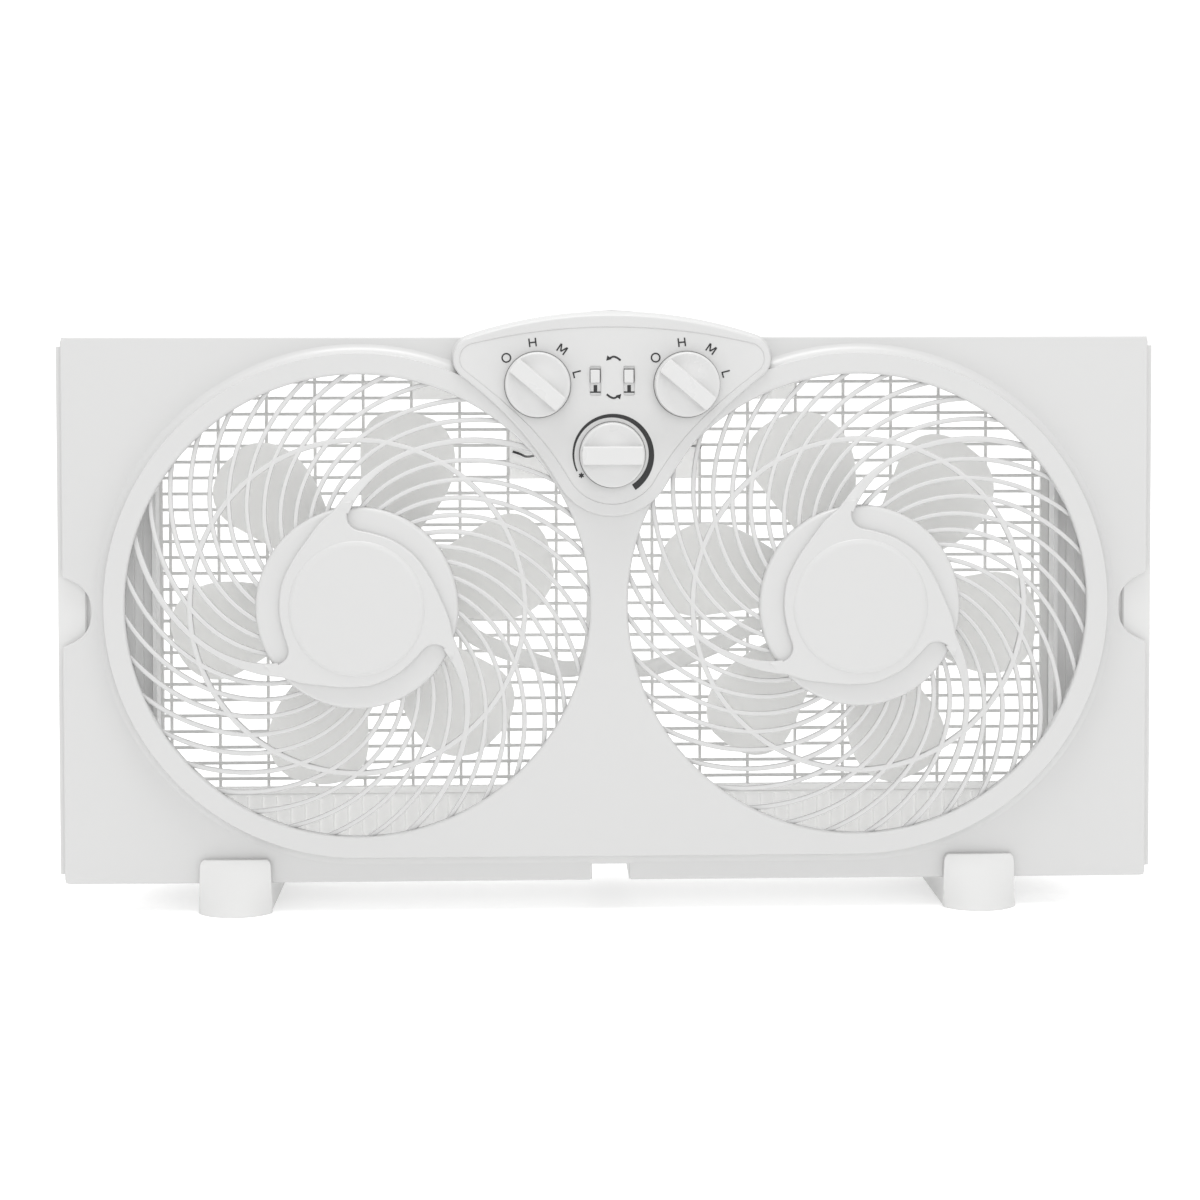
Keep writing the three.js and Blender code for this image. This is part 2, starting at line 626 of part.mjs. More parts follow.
/** The stator: a laminated ring with slots for the windings, between the two bells. */
function stator() {
  const inner = motorRadius / 2 + airGap;
  const body = ring(inner, motorRadius - motorWall - clearance, motorFront + coreInset, motorBack - coreInset, facets.motor);
  const slots = Array.from({ length: 4 }, (_, i) => {
    const at = polar(inner + 5, (i + 0.5) * Math.PI / 2);
    return drum(at.x, at.y, 3, motorFront, motorBack, 8);
  });
  return slots.reduce((whole, slot) => whole.subtract(slot), body);
}

const bearing = (front) => ring(shaftRadius + clearance, bearingRadius, front, front + bearingLength, facets.bearing);
const rotorCore = () => ring(shaftRadius + clearance, motorRadius / 2, motorFront + coreInset, motorBack - coreInset,
  facets.motor);
const shaftFront = bladePlane - bladeHubDepth / 2 - 8;
const nutFront = bladePlane - bladeHubDepth / 2 - clearance - 6;

for (const [name, side] of fanSides) {
  const place = (body) => body.translate([fanX(side), 0, fanHeight]);
  const firstAngle = degrees(side < 0 ? 11 : 48);
  part(`${name}_fan_rotor`, place(fanRotor(firstAngle)), bladeGrey);
  part(`${name}_motor_shaft`, place(drum(0, 0, shaftRadius, shaftFront, motorBack - 2, facets.bearing)), shaftSteel);
  const nut = turned([[0, nutFront], [7, nutFront], [9, nutFront + 2], [9, nutFront + 6], [0, nutFront + 6]], 6)
    .subtract(drum(0, 0, shaftRadius + clearance, nutFront - 1, nutFront + 7, facets.bearing));
  part(`${name}_spinner_nut`, place(nut), darkPlastic);
  part(`${name}_rotor_core`, place(rotorCore()), laminations);
  part(`${name}_motor_front_bell`, place(motorBell(true)), motorSteel);
  part(`${name}_motor_rear_bell`, place(motorBell(false)), motorSteel);
  part(`${name}_stator`, place(stator()), laminations);
  part(`${name}_front_bearing`, place(bearing(motorFront + 1.4 + clearance)), shaftSteel);
  part(`${name}_rear_bearing`, place(bearing(motorBack - 1.4 - clearance - bearingLength)), shaftSteel);
}

// ---------------------------------------------------------------- console

const insertFront = consoleFace + 0.3;
const insertBack = consoleFace + shellWall + clearance + 1.5;
const knobPlaces = [
  ['left_speed', consoleX - speedKnobSpacing / 2, speedKnobHeight, offAngle],
  ['right_speed', consoleX + speedKnobSpacing / 2, speedKnobHeight, offAngle],
  ['thermostat', consoleX, thermostatHeight, Math.PI],
];

/** The console's insert: a plate in the window of the console with a flange behind it. */
function consoleInsert() {
  let plate = prism(insertOutline(), insertFront, consoleFace + shellWall + clearance)
    .add(prism(insertOutline(-insertFlange), consoleFace + shellWall + clearance, insertBack));
  for (const [, x, z] of knobPlaces) {
    plate = plate.subtract(drum(x, z, spindleRadius + 1, insertFront - 1, insertBack + 1, 16));
  }
  for (const [, side] of fanSides) {
    const x = consoleX + side * sliderSpacing / 2;
    plate = plate.subtract(block(x - sliderSlot.width / 2, x + sliderSlot.width / 2, insertFront - 1, insertBack + 1,
      sliderHeight - sliderSlot.height / 2, sliderHeight + sliderSlot.height / 2));
  }
  return plate;
}

part('console_insert', consoleInsert(), white);

/** A knob: a low round skirt with a tall grip bar across it, hollow round the spindle. */
function knob() {
  const back = insertFront - clearance - 0.4;
  const [front, shoulder] = [back - knobHeight, back - knobHeight + knobGripHeight];
  const skirt = turned([[0, shoulder], [knobRadius - 3, shoulder], [knobRadius - 0.8, shoulder + 1.4],
    [knobRadius, back], [0, back]], facets.hub);
  const half = (width) => [...arc(0, 0, knobRadius - 1.2, -width, width, 3),
    ...arc(0, 0, knobRadius - 1.2, Math.PI - width, Math.PI + width, 3)];
  const [wide, thin] = [Math.asin(knobGripWidth / 2 / knobRadius), Math.asin(knobGripWidth / 3 / knobRadius)];
  const grip = faceLoft([[front, half(thin)], [front + 1.5, half(thin * 1.15)], [shoulder + 1, half(wide)]]);
  const socket = drum(0, 0, spindleRadius + clearance / 2, back - knobHeight + 5, back + 1, 12);
  const pocket = ring(spindleRadius + 3, knobRadius - 2.4, shoulder + 2.6, back + 1, facets.bearing);
  return skirt.add(grip).subtract(socket).subtract(pocket);
}

const knobBody = knob();
const spindleBack = insertBack + clearance + 6;
for (const [name, x, z, angle] of knobPlaces) {
  const turn = -THREE.MathUtils.radToDeg(angle);
  part(`${name}_knob`, knobBody.rotate([0, turn, 0]).translate([x, 0, z]), white);
  const spindleFront = insertFront - clearance - 0.4 - knobHeight + 5 + clearance;
  part(`${name}_spindle`, drum(x, z, spindleRadius, spindleFront, spindleBack - clearance, 12), shaftSteel);
}

/** A switch body behind the insert, with a well for its spindle. */
function switchBody(x, z, half, back) {
  const front = insertBack + clearance;
  const well = drum(x, z, spindleRadius + clearance, front - 1, spindleBack, 16);
  return block(x - half, x + half, front, back, z - half, z + half).subtract(well);
}

for (const [name, x, z] of knobPlaces) {
  const [half, back] = name === 'thermostat' ? [12, 26] : [11, 24];
  part(name === 'thermostat' ? 'thermostat_body' : `${name}_switch`, switchBody(x, z, half, back), darkPlastic);
}

for (const [name, side] of fanSides) {
  const x = consoleX + side * sliderSpacing / 2;
  const [halfWidth, height] = [sliderSlot.width / 2 - clearance, sliderSlot.height - sliderTravel - 2 * clearance];
  const top = sliderHeight + sliderSlot.height / 2 - clearance;
  const stem = block(x - halfWidth, x + halfWidth, insertFront - 2.2, insertBack + 2, top - height, top);
  part(`${name}_direction_button`, stem, white);
  const front = insertBack + 2 + clearance;
  part(`${name}_direction_switch`, block(x - 4, x + 4, front, front + 12, sliderHeight - 11, sliderHeight + 11),
    darkPlastic);
}

/** The cover behind the switches: a tray of the insert's shape, open to the front. */
function switchTray() {
  const { front, back, wall, inset } = switchBox;
  const top = bodyHeight - shellWall - clearance;
  const tray = prism(insertOutline(inset), front, back)
    .subtract(prism(insertOutline(inset + wall), front - 1, back - wall));
  return tray.intersect(block(-bodyWidth / 2, bodyWidth / 2, front - 1, back + 1, 0, top));
}

part('switch_box', switchTray(), greyWhite);

for (const [name, side] of fanSides) {
  const [x, back] = [consoleX + side * capacitor.spacing / 2, switchBox.back - switchBox.wall - clearance];
  const { width, height, depth } = capacitor;
  part(`${name}_capacitor`, block(x - width / 2, x + width / 2, back - depth, back, sliderHeight - height / 2,
    sliderHeight + height / 2), darkPlastic);
}

// ---------------------------------------------------------------- wiring

/** A sheathed lead from a motor's side to the middle of the body and up to the switch box. */
function wiring(side) {
  const trayBottom = thermostatHeight - insertLobe + switchBox.inset;
  const depth = motorBack - 9;
  const reach = fanSpacing / 2 - motorRadius + clearance; // the case is slightly narrower here
  const route = [[reach, depth, fanHeight - 8], [reach - 12, depth, fanHeight - 12], [44, depth, 122],
    [18, depth, 108], [9, depth - 1, 116], [8, depth - 8, 150], [8, depth - 34, 186], [8, 27, 203],
    [8, 26, trayBottom - clearance]]
    .map(([x, y, z]) => new THREE.Vector3(side * x, y, z));
  const section = new THREE.Shape(arc(0, 0, 3, 0, 2 * Math.PI, 6).slice(0, -1));
  const path = new THREE.CatmullRomCurve3(route);
  return solid(new THREE.ExtrudeGeometry(section, { extrudePath: path, steps: 15 }));
}

for (const [name, side] of fanSides) part(`${name}_motor_lead`, wiring(side), wireSheath);

part('cord_gland', turned([[glandRadius - 2, rearInside - 5], [glandRadius - clearance, rearInside - 5],
  [glandRadius - clearance, bodyDepth + clearance], [glandRadius + 2, bodyDepth + clearance],
  [glandRadius + 1, bodyDepth + 3], [glandRadius - 2, bodyDepth + 3], [glandRadius - 2, rearInside - 5]],
facets.bearing, glandX, glandHeight), darkPlastic);

part('terminal_block', block(20, 52, rearInside - 30, rearInside - 16, shellWall + clearance, shellWall + 14),
  darkPlastic);

// ---------------------------------------------------------------- side panels

/** One leaf of a side panel, drawn in plan and carried up its whole height. */
function leaf(side, number) {
  const front = leafFront + number * leafPitch;
  const back = front + leafThickness;
  const inner = channelInner + clearance * 5 + (leafCount - 1 - number) * leafStagger;
  const outer = bodyWidth / 2 - 0.5;
  const lip = leafLipWidth;
  const outline = number === 0 ? [
    [inner, front], [bodyWidth / 2 - gripPlate - 4.4, front], [bodyWidth / 2 - gripPlate - 4.4, front - 1.6],
    [bodyWidth / 2 - gripPlate - 1.6, front - 1.6], [bodyWidth / 2 - gripPlate - 1.6, front + 0.6],
    [bodyWidth / 2 - gripPlate, front + 0.6], [bodyWidth / 2 - gripPlate, endFlange.front + 0.8],
    [bodyWidth / 2 - gripPlate + 0.8, endFlange.front],
    [bodyWidth / 2 + clearance + endFlange.width, endFlange.front],
    [bodyWidth / 2 + clearance + endFlange.width, channelBack + shellWall],
    [bodyWidth / 2 + clearance, channelBack + shellWall], [bodyWidth / 2 + clearance, back],
    [inner + lip, back], [inner + lip, back + leafLip], [inner, back + leafLip],
  ] : [
    [inner, front], [outer - lip, front], [outer - lip, front - leafLip], [outer, front - leafLip], [outer, back],
    [inner + lip, back], [inner + lip, back + leafLip], [inner, back + leafLip],
  ];
  const points = outline.map(([x, y]) => new THREE.Vector2(side * x, y));
  return column(points, leafBottom, leafBottom + leafHeight);
}

for (const [name, side] of fanSides) {
  for (let number = 0; number < leafCount; number += 1) part(`${name}_leaf_${number + 1}`, leaf(side, number), white);
}

// ---------------------------------------------------------------- feet

/** A push-on foot: a long sole under the body, a bowed toe and tabs in front of and behind the body. */
function footBody(side) {
  const x = side * foot.spacing / 2;
  const half = foot.width / 2;
  const toe = (z, bulge, spread) => {
    const reach = half + spread;
    const radius = (reach ** 2 + bulge ** 2) / (2 * bulge);
    const swing = Math.asin(reach / radius);
    const front = foot.topFront - bulge;
    return [
      ...arc(x, front + radius, radius, -Math.PI / 2 - swing, -Math.PI / 2 + swing, 8),
      new THREE.Vector2(x + reach, plateStep - clearance), new THREE.Vector2(x - reach, plateStep - clearance),
    ].map((p) => new THREE.Vector3(p.x, p.y, z));
  };
  const front = loft([toe(-foot.drop, 11.6, 0.8), toe(-foot.drop + 10, 9, 0.6), toe(-clearance, 5, 0.3),
    toe(foot.tab - 3, 1.5, 0), toe(foot.tab, 0.6, -1)], fromAbove);
  const sole = block(x - half, x + half, plateStep - clearance - 1, footBack, -foot.drop, -clearance);
  const heelFront = bodyDepth + clearance;
  const heel = block(x - half, x + half, heelFront, heelFront + foot.tabDepth, -clearance - 1, foot.tab);
  return join([front, sole, heel]);
}

for (const [name, side] of fanSides) part(`${name}_foot`, footBody(side), white);

// ---------------------------------------------------------------- placing

const frontMost = insertFront - clearance - 0.4 - knobHeight;
model.children.forEach((mesh) => mesh.position.set(0, -(frontMost + footBack) / 2, foot.drop));
model.name = 'twin_window_fan';

export default model;
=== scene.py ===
import json
import math
import bmesh
import bpy
import numpy as np
from mathutils import Matrix, Vector


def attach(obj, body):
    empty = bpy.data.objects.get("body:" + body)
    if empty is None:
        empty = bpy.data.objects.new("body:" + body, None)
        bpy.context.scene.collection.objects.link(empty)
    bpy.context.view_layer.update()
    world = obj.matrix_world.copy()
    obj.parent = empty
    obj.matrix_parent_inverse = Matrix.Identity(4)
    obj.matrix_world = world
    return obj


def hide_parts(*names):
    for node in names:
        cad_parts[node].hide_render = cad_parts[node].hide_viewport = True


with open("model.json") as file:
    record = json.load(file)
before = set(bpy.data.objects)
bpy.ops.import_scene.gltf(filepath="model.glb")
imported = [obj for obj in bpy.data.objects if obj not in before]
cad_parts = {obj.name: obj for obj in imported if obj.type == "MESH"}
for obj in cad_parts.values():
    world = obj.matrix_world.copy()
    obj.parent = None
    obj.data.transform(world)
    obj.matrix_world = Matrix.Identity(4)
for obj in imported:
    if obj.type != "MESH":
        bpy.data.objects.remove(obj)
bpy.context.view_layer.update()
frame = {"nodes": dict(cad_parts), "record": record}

nodes = frame["nodes"]

# ------------------------------------------------------------------ sizes, in millimetres
# x runs to the right, y back from the raised front face, z up from the body's lower edge.

MM = 0.001
OFFSET = Vector((0, -0.04705, 0.016))  # the drawing's origin in the row frame, in metres
SIDES = (("left", -1), ("right", 1))

WIDTH, HEIGHT, DEPTH = 597.0, 300.0, 100.0
FAN_X, FAN_Z = 137.0, 153.0
OPENING, RING_OUTER, FILLET = 126.6, 138.0, 6.0
PLATE, PLATE_BACK = 8.0, 10.5  # front and back of the flat plate
PLATE_HOLE = 133.0
CORNER = 3.0
CORD_X, CORD_HALF, CORD_TOP = 0.9, 10.3, 15.0  # the notch for the cord
CROWN_PEAK, CROWN_RADIUS, CROWN_HOLLOW = 312.2, 229.0, 26.0

CONSOLE_X, CONSOLE_FACE = 2.0, -2.5
INSERT_FRONT = CONSOLE_FACE + 0.3
SLOT_FLOOR = INSERT_FRONT + 1.1
DIAL_Z = 235.7
SPEED_X, SPEED_Z = 40.65, 274.0
SLIDE_X, SLIDE_Z = 9.2, 276.0
KNOB_RADIUS, KNOB_HEIGHT = 17.9, 15.0
SPINDLE_HOLE = 3.5
KNOBS = {"left_speed": (CONSOLE_X - SPEED_X, SPEED_Z, 139.5),
         "right_speed": (CONSOLE_X + SPEED_X, SPEED_Z, 139.5),
         "thermostat": (CONSOLE_X, DIAL_Z, 180.0)}  # each knob's place and the angle of its grip
SLIDERS = [(CONSOLE_X + s * SLIDE_X, SLIDE_Z) for _, s in SIDES]

HUB, SWIRL, BOSS = 55.0, 42.5, 36.5
LEDGE = -9.0
DOME_EDGE, DOME_RISE = 3.4, 9.4  # depth of the bars at the ring, and how far they rise from there to the hub
BOSS_FACE = LEDGE - 3.0
BARS, ARMS, BAR_WIDTH, BAR_DEPTH = 36, 3, 2.6, 4.2
MIDDLE_RING = (89.6, 92.5)  # inner and outer radius
ARM = math.radians(97)  # where the first arm leaves the hub
SWEEP = math.radians(54)  # how far a bar turns on its way out

BLADES, BLADE_TIP, BLADE_ROOT, BLADE_Y = 6, 108.5, 28.5, 46
BLADE_SPREAD = math.radians(20.4)
FIRST_BLADE = {"left": 11.0, "right": 48.0}  # degrees
MOTOR_RADIUS, MOTOR_FRONT, MOTOR_BACK = 36.0, 61.95, 93.95

FOOT_X, FOOT_HALF, FOOT_DROP, FOOT_TAB = 205.0, 19.25, 16.0, 13.5
FOOT_BACK = 112

GUARD_X, GUARD_LOW, GUARD_HIGH = 259.4, 34.8, 282.87
GUARD_FRONT, GUARD_BORDER, GUARD_BAR = 95.5, 4.0, 1.8
ROW_PITCH, UPRIGHT_PITCH = 9.21, 27.92
RIB_PITCH = 8.3


def at(x, y, z):
    """A point of the drawing in the row frame."""
    return Vector((x * MM, y * MM, z * MM)) + OFFSET


# ------------------------------------------------------------------ materials


def material(name, colour, rough, metal=0.0, grain=0.0, grain_scale=900.0, mottle=0.03, glow=0.0):
    """A plain finish with a faint mottle in its colour and gloss, where asked a moulded grain, and an even
    glow: on the parts the glow is painted light, on the floor it keeps the backdrop evenly white.
    """
    made = bpy.data.materials.new(name)
    made.use_nodes = True
    tree = made.node_tree
    surface = tree.nodes["Principled BSDF"]
    surface.inputs["Metallic"].default_value = metal
    surface.inputs["Emission Color"].default_value = (1, 1, 1, 1)
    surface.inputs["Emission Strength"].default_value = glow
    place = tree.nodes.new("ShaderNodeTexCoord")

    def noise(scale, detail=4.0):
        texture = tree.nodes.new("ShaderNodeTexNoise")
        texture.inputs["Scale"].default_value = scale
        texture.inputs["Detail"].default_value = detail
        tree.links.new(place.outputs["Object"], texture.inputs["Vector"])
        return texture.outputs["Fac"]

    mix = tree.nodes.new("ShaderNodeMix")
    mix.data_type = "RGBA"
    mix.inputs[6].default_value = (*[c * (1 - mottle) for c in colour], 1)
    mix.inputs[7].default_value = (*[min(1, c * (1 + mottle)) for c in colour], 1)
    tree.links.new(noise(7.0), mix.inputs[0])
    tree.links.new(mix.outputs[2], surface.inputs["Base Color"])
    gloss = tree.nodes.new("ShaderNodeMapRange")
    gloss.inputs["From Min"].default_value = 0.3
    gloss.inputs["From Max"].default_value = 0.7
    gloss.inputs["To Min"].default_value = rough * 0.9
    gloss.inputs["To Max"].default_value = rough * 1.1
    tree.links.new(noise(30.0), gloss.inputs["Value"])
    tree.links.new(gloss.outputs["Result"], surface.inputs["Roughness"])
    if grain:
        bump = tree.nodes.new("ShaderNodeBump")
        bump.inputs["Strength"].default_value = grain
        bump.inputs["Distance"].default_value = 0.0001
        tree.links.new(noise(grain_scale, 3.0), bump.inputs["Height"])
        tree.links.new(bump.outputs["Normal"], surface.inputs["Normal"])
    return made


WHITE = material("white_plastic", (0.565, 0.565, 0.562), 0.36, grain=0.10, grain_scale=1400, mottle=0.012)
FOOT_WHITE = material("foot_plastic", (0.625, 0.625, 0.62), 0.4, grain=0.08, mottle=0.012)
# the rear shell's glow is painted light that lifts the shade inside the body
REAR_WHITE = material("rear_shell_plastic", (0.61, 0.61, 0.605), 0.42, grain=0.08, mottle=0.012, glow=0.09)
GRILLE_WHITE = material("grille_plastic", (0.57, 0.57, 0.567), 0.34, grain=0.06, mottle=0.012)
CONSOLE_WHITE = material("console_plastic", (0.58, 0.58, 0.577), 0.42, grain=0.16, grain_scale=2200,
                         mottle=0.01)
KNOB_WHITE = material("knob_plastic", (0.60, 0.60, 0.597), 0.28, grain=0.04, mottle=0.012)
# the side panels' glow is painted light that lifts their shade
LEAF_WHITE = material("panel_plastic", (0.52, 0.52, 0.515), 0.40, grain=0.10, mottle=0.015, glow=0.13)
# the rear grille's glow is painted light that lifts its shade behind the fans
GREY_WHITE = material("rear_plastic", (0.68, 0.68, 0.67), 0.48, grain=0.14, mottle=0.02, glow=0.10)
# the blades' glow and their very pale colour are painted light that lifts the shade inside the housing
BLADE_GREY = material("blade_plastic", (0.89, 0.89, 0.875), 0.33, grain=0.05, mottle=0.01, glow=0.08)
DARK = material("dark_plastic", (0.035, 0.035, 0.038), 0.45, grain=0.2, mottle=0.1)
# painted light: a very pale, glowing colour that lifts the shade at the back of the body
PAINTED_LIGHT_PALE = material("rear_inside", (0.86, 0.86, 0.85), 0.5, mottle=0.01, glow=0.24)
THUMB_WHITE = material("thumb_plastic", (0.60, 0.60, 0.597), 0.3, grain=0.04, mottle=0.01)
SHADE = material("shadow_line", (0.16, 0.16, 0.16), 0.7, mottle=0.05)
PRINT = material("print_black", (0.012, 0.012, 0.013), 0.5, mottle=0.08)
# the sleeve's glow is painted light that lifts its shade inside the body
SHEATH = material("sheath", (0.76, 0.76, 0.75), 0.6, grain=0.3, grain_scale=1500, mottle=0.02, glow=0.12)
STEEL = material("motor_steel", (0.36, 0.37, 0.38), 0.32, metal=1.0, grain=0.15, mottle=0.06)
LAMINATION = material("laminations", (0.26, 0.27, 0.28), 0.4, metal=1.0, grain=0.3, mottle=0.1)
SHAFT_STEEL = material("shaft_steel", (0.6, 0.61, 0.62), 0.2, metal=1.0, grain=0.05, mottle=0.04)
COPPER = material("winding_copper", (0.55, 0.22, 0.09), 0.3, metal=1.0, grain=0.3, mottle=0.15)

SLOT_MATERIALS = {
    "body_white": WHITE, "grille_white": GRILLE_WHITE, "console_white": CONSOLE_WHITE,
    "knob_white": KNOB_WHITE, "leaf_white": LEAF_WHITE, "grey_white": GREY_WHITE, "blade_grey": BLADE_GREY,
    "dark_plastic": DARK, "wire_sheath": SHEATH, "motor_steel": STEEL, "laminations": LAMINATION,
    "shaft_steel": SHAFT_STEEL}

node_slot = {s["node"]: s["material_slot"] for s in frame["record"]["subparts"]}

# ------------------------------------------------------------------ mesh helpers
# A shell is a pair of lists, its points in drawing millimetres and its faces.


def finish_mesh(name, mesh, mat, angle=32.0, weighted=True):
    """An object with smooth faces that stay sharp past the angle, in degrees."""
    mesh.materials.append(mat)
    mesh.validate()
    mesh.shade_smooth()
    mesh.set_sharp_from_angle(angle=math.radians(angle))
    obj = bpy.data.objects.new(name, mesh)
    bpy.context.scene.collection.objects.link(obj)
    if weighted:
        mod = obj.modifiers.new("normals", "WEIGHTED_NORMAL")
        mod.keep_sharp = True
    return obj


def mesh_of(name, verts, faces, mat, angle=32.0):
    """One shell as an object."""
    mesh = bpy.data.meshes.new(name)
    mesh.from_pydata([tuple(at(*v)) for v in verts], [], faces)
    bm = bmesh.new()
    bm.from_mesh(mesh)
    bmesh.ops.remove_doubles(bm, verts=bm.verts, dist=1e-6)
    bmesh.ops.recalc_face_normals(bm, faces=bm.faces)
    bm.to_mesh(mesh)
    bm.free()
    return finish_mesh(name, mesh, mat, angle)


def merged(name, shells, mat, angle=32.0):
    """Several shells as one object."""
    verts, faces = [], []
    for v, f in shells:
        base = len(verts)
        verts.extend(v)
        faces.extend([tuple(i + base for i in face) for face in f])
    return mesh_of(name, verts, faces, mat, angle)


def moved(shells, x, z):
    """The shells carried to a place in x and z."""
    return [([(a + x, y, b + z) for a, y, b in verts], faces) for verts, faces in shells]


def lathe(profile, steps, x=0.0, z=0.0, closed=False, caps=True):
    """A profile of (radius, depth) pairs turned about a line along y; it is a loop if closed."""
    verts, faces = [], []
    n = len(profile)
    for r, y in profile:
        for i in range(steps):
            a = 2 * math.pi * i / steps
            verts.append((x + r * math.cos(a), y, z + r * math.sin(a)))
    for k in range(n if closed else n - 1):
        for i in range(steps):
            j, m = (i + 1) % steps, (k + 1) % n
            faces.append((k * steps + i, k * steps + j, m * steps + j, m * steps + i))
    if caps and not closed:
        faces.append(tuple(range(steps)))
        faces.append(tuple(range((n - 1) * steps, n * steps))[::-1])
    return verts, faces


def strip(rings, caps=True):
    """A skin over rings of points."""
    verts = [p for ring in rings for p in ring]
    n, faces = len(rings[0]), []
    for k in range(len(rings) - 1):
        for i in range(n):
            j = (i + 1) % n
            faces.append((k * n + i, k * n + j, (k + 1) * n + j, (k + 1) * n + i))
    if caps:
        faces.append(tuple(range(n - 1, -1, -1)))
        faces.append(tuple(range((len(rings) - 1) * n, len(rings) * n)))
    return verts, faces


def boxed(x0, x1, y0, y1, z0, z1):
    """A box."""
    verts = [(x, y, z) for x in (x0, x1) for y in (y0, y1) for z in (z0, z1)]
    faces = [(0, 1, 3, 2), (4, 6, 7, 5), (0, 4, 5, 1), (2, 3, 7, 6), (0, 2, 6, 4), (1, 5, 7, 3)]
    return verts, faces


def bevel(obj, width, angle=40.0):
    """Rounds the edges that are sharper than the angle, before the normals are weighted."""
    mod = obj.modifiers.new("edges", "BEVEL")
    mod.width = width * MM
    mod.segments = 2
    mod.limit_method = "ANGLE"
    mod.angle_limit = math.radians(angle)
    mod.miter_outer = "MITER_ARC"
    obj.modifiers.move(len(obj.modifiers) - 1, 0)
    return obj


def face_curve(name, outlines, y0, y1, edge, mat):
    """Flat outlines in x and z, with holes, as a plate from y0 to y1 with rounded edges."""
    curve = bpy.data.curves.new(name, "CURVE")
    curve.dimensions = "2D"
    curve.fill_mode = "BOTH"
    for outline in outlines:
        spline = curve.splines.new("POLY")
        spline.points.add(len(outline) - 1)
        for p, (x, z) in zip(spline.points, outline):
            p.co = (x * MM, z * MM, 0, 1)
        spline.use_cyclic_u = True
    curve.bevel_depth = edge * MM
    curve.bevel_resolution = 3
    curve.extrude = ((y1 - y0) / 2 - edge) * MM
    curve.offset = -edge * MM
    obj = bpy.data.objects.new(name, curve)
    bpy.context.scene.collection.objects.link(obj)
    obj.matrix_world = Matrix.Translation(at(0, (y0 + y1) / 2, 0)) @ Matrix.Rotation(math.pi / 2, 4, "X")
    bpy.context.view_layer.update()
    mesh = bpy.data.meshes.new_from_object(obj.evaluated_get(bpy.context.evaluated_depsgraph_get()))
    mesh.transform(obj.matrix_world)
    mesh.name = name
    bpy.data.objects.remove(obj)
    mesh.materials.clear()
    return finish_mesh(name, mesh, mat, 40.0)


def holed_face(outline, holes, y):
    """A flat face at depth y with holes, as a shell."""
    bm = bmesh.new()
    edges = []
    for loop in [outline] + holes:
        vs = [bm.verts.new((x, y, z)) for x, z in loop]
        edges += [bm.edges.new((vs[i], vs[(i + 1) % len(vs)])) for i in range(len(vs))]
    bmesh.ops.triangle_fill(bm, use_beauty=True, use_dissolve=False, edges=edges, normal=(0, -1, 0))
    bm.verts.index_update()
    verts = [tuple(v.co) for v in bm.verts]
    faces = [tuple(v.index for v in f.verts) for f in bm.faces]
    bm.free()
    return verts, faces


def show(obj, body, slot, *replaced):
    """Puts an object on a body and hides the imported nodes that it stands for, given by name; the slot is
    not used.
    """
    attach(obj, body)
    if replaced:
        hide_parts(*replaced)
    return obj


# ------------------------------------------------------------------ lines and curves


def arc(x, z, r, a0, a1, steps):
    """Points on an arc, both ends included."""
    return [(x + r * math.cos(a0 + (a1 - a0) * i / steps), z + r * math.sin(a0 + (a1 - a0) * i / steps))
            for i in range(steps + 1)]


def circle(x, z, r, steps=160):
    return arc(x, z, r, 0, 2 * math.pi, steps)[:-1]


def smooth(t):
    """A soft step from 0 to 1."""
    t = min(1.0, max(0.0, t))
    return t * t * (3 - 2 * t)


def bezier(p0, p1, p2, p3, steps):
    out = []
    for i in range(steps + 1):
        t = i / steps
        c = ((1 - t) ** 3, 3 * t * (1 - t) ** 2, 3 * t * t * (1 - t), t ** 3)
        out.append(tuple(c[0] * a + c[1] * b + c[2] * d + c[3] * e for a, b, d, e in zip(p0, p1, p2, p3)))
    return out


def through(points, steps=5):
    """A smooth line through the points, which keeps its two ends."""
    out = []
    last = len(points) - 1
    for k in range(last):
        p0, p1, p2, p3 = (Vector(points[max(0, min(last, k + d))]) for d in (-1, 0, 1, 2))
        for i in range(steps):
            t = i / steps
            out.append(tuple(0.5 * ((2 * p1) + (p2 - p0) * t + (2 * p0 - 5 * p1 + 4 * p2 - p3) * t * t
                                    + (3 * p1 - 3 * p2 + p3 - p0) * t ** 3)))
    return out + [tuple(points[-1])]


def resample(path, count):
    """The same line with its points at even distances."""
    d = [0.0]
    for a, b in zip(path, path[1:]):
        d.append(d[-1] + math.hypot(b[0] - a[0], b[1] - a[1]))
    t = np.linspace(0, d[-1], count + 1)
    return list(zip(np.interp(t, d, [p[0] for p in path]), np.interp(t, d, [p[1] for p in path])))


def soften(pts, radius):
    """Cuts the corners of a profile loop."""
    out, n = [], len(pts)
    for i, p in enumerate(pts):
        for q in (pts[i - 1], pts[(i + 1) % n]):
            d = math.hypot(q[0] - p[0], q[1] - p[1])
            t = min(radius / d, 0.45)
            out.append((p[0] + (q[0] - p[0]) * t, p[1] + (q[1] - p[1]) * t))
    return out


def swept(route, side, spare, section):
    """Rings along a smooth route. The section gives width and height at a share of the way; its width lies
    square to the route and to the side vector, or along the spare vector where those two are parallel."""
    line = [Vector(p) for p in through(route, 6)]
    last = len(line) - 1
    rings = []
    for i, p in enumerate(line):
        along = (line[min(i + 1, last)] - line[max(i - 1, 0)]).normalized()
        across = Vector(side).cross(along)
        across = across.normalized() if across.length > 0.1 else Vector(spare)
        other = along.cross(across)
        rings.append([tuple(p + across * w + other * h) for w, h in section(i / last)])
    return rings


# ------------------------------------------------------------------ the console's outlines


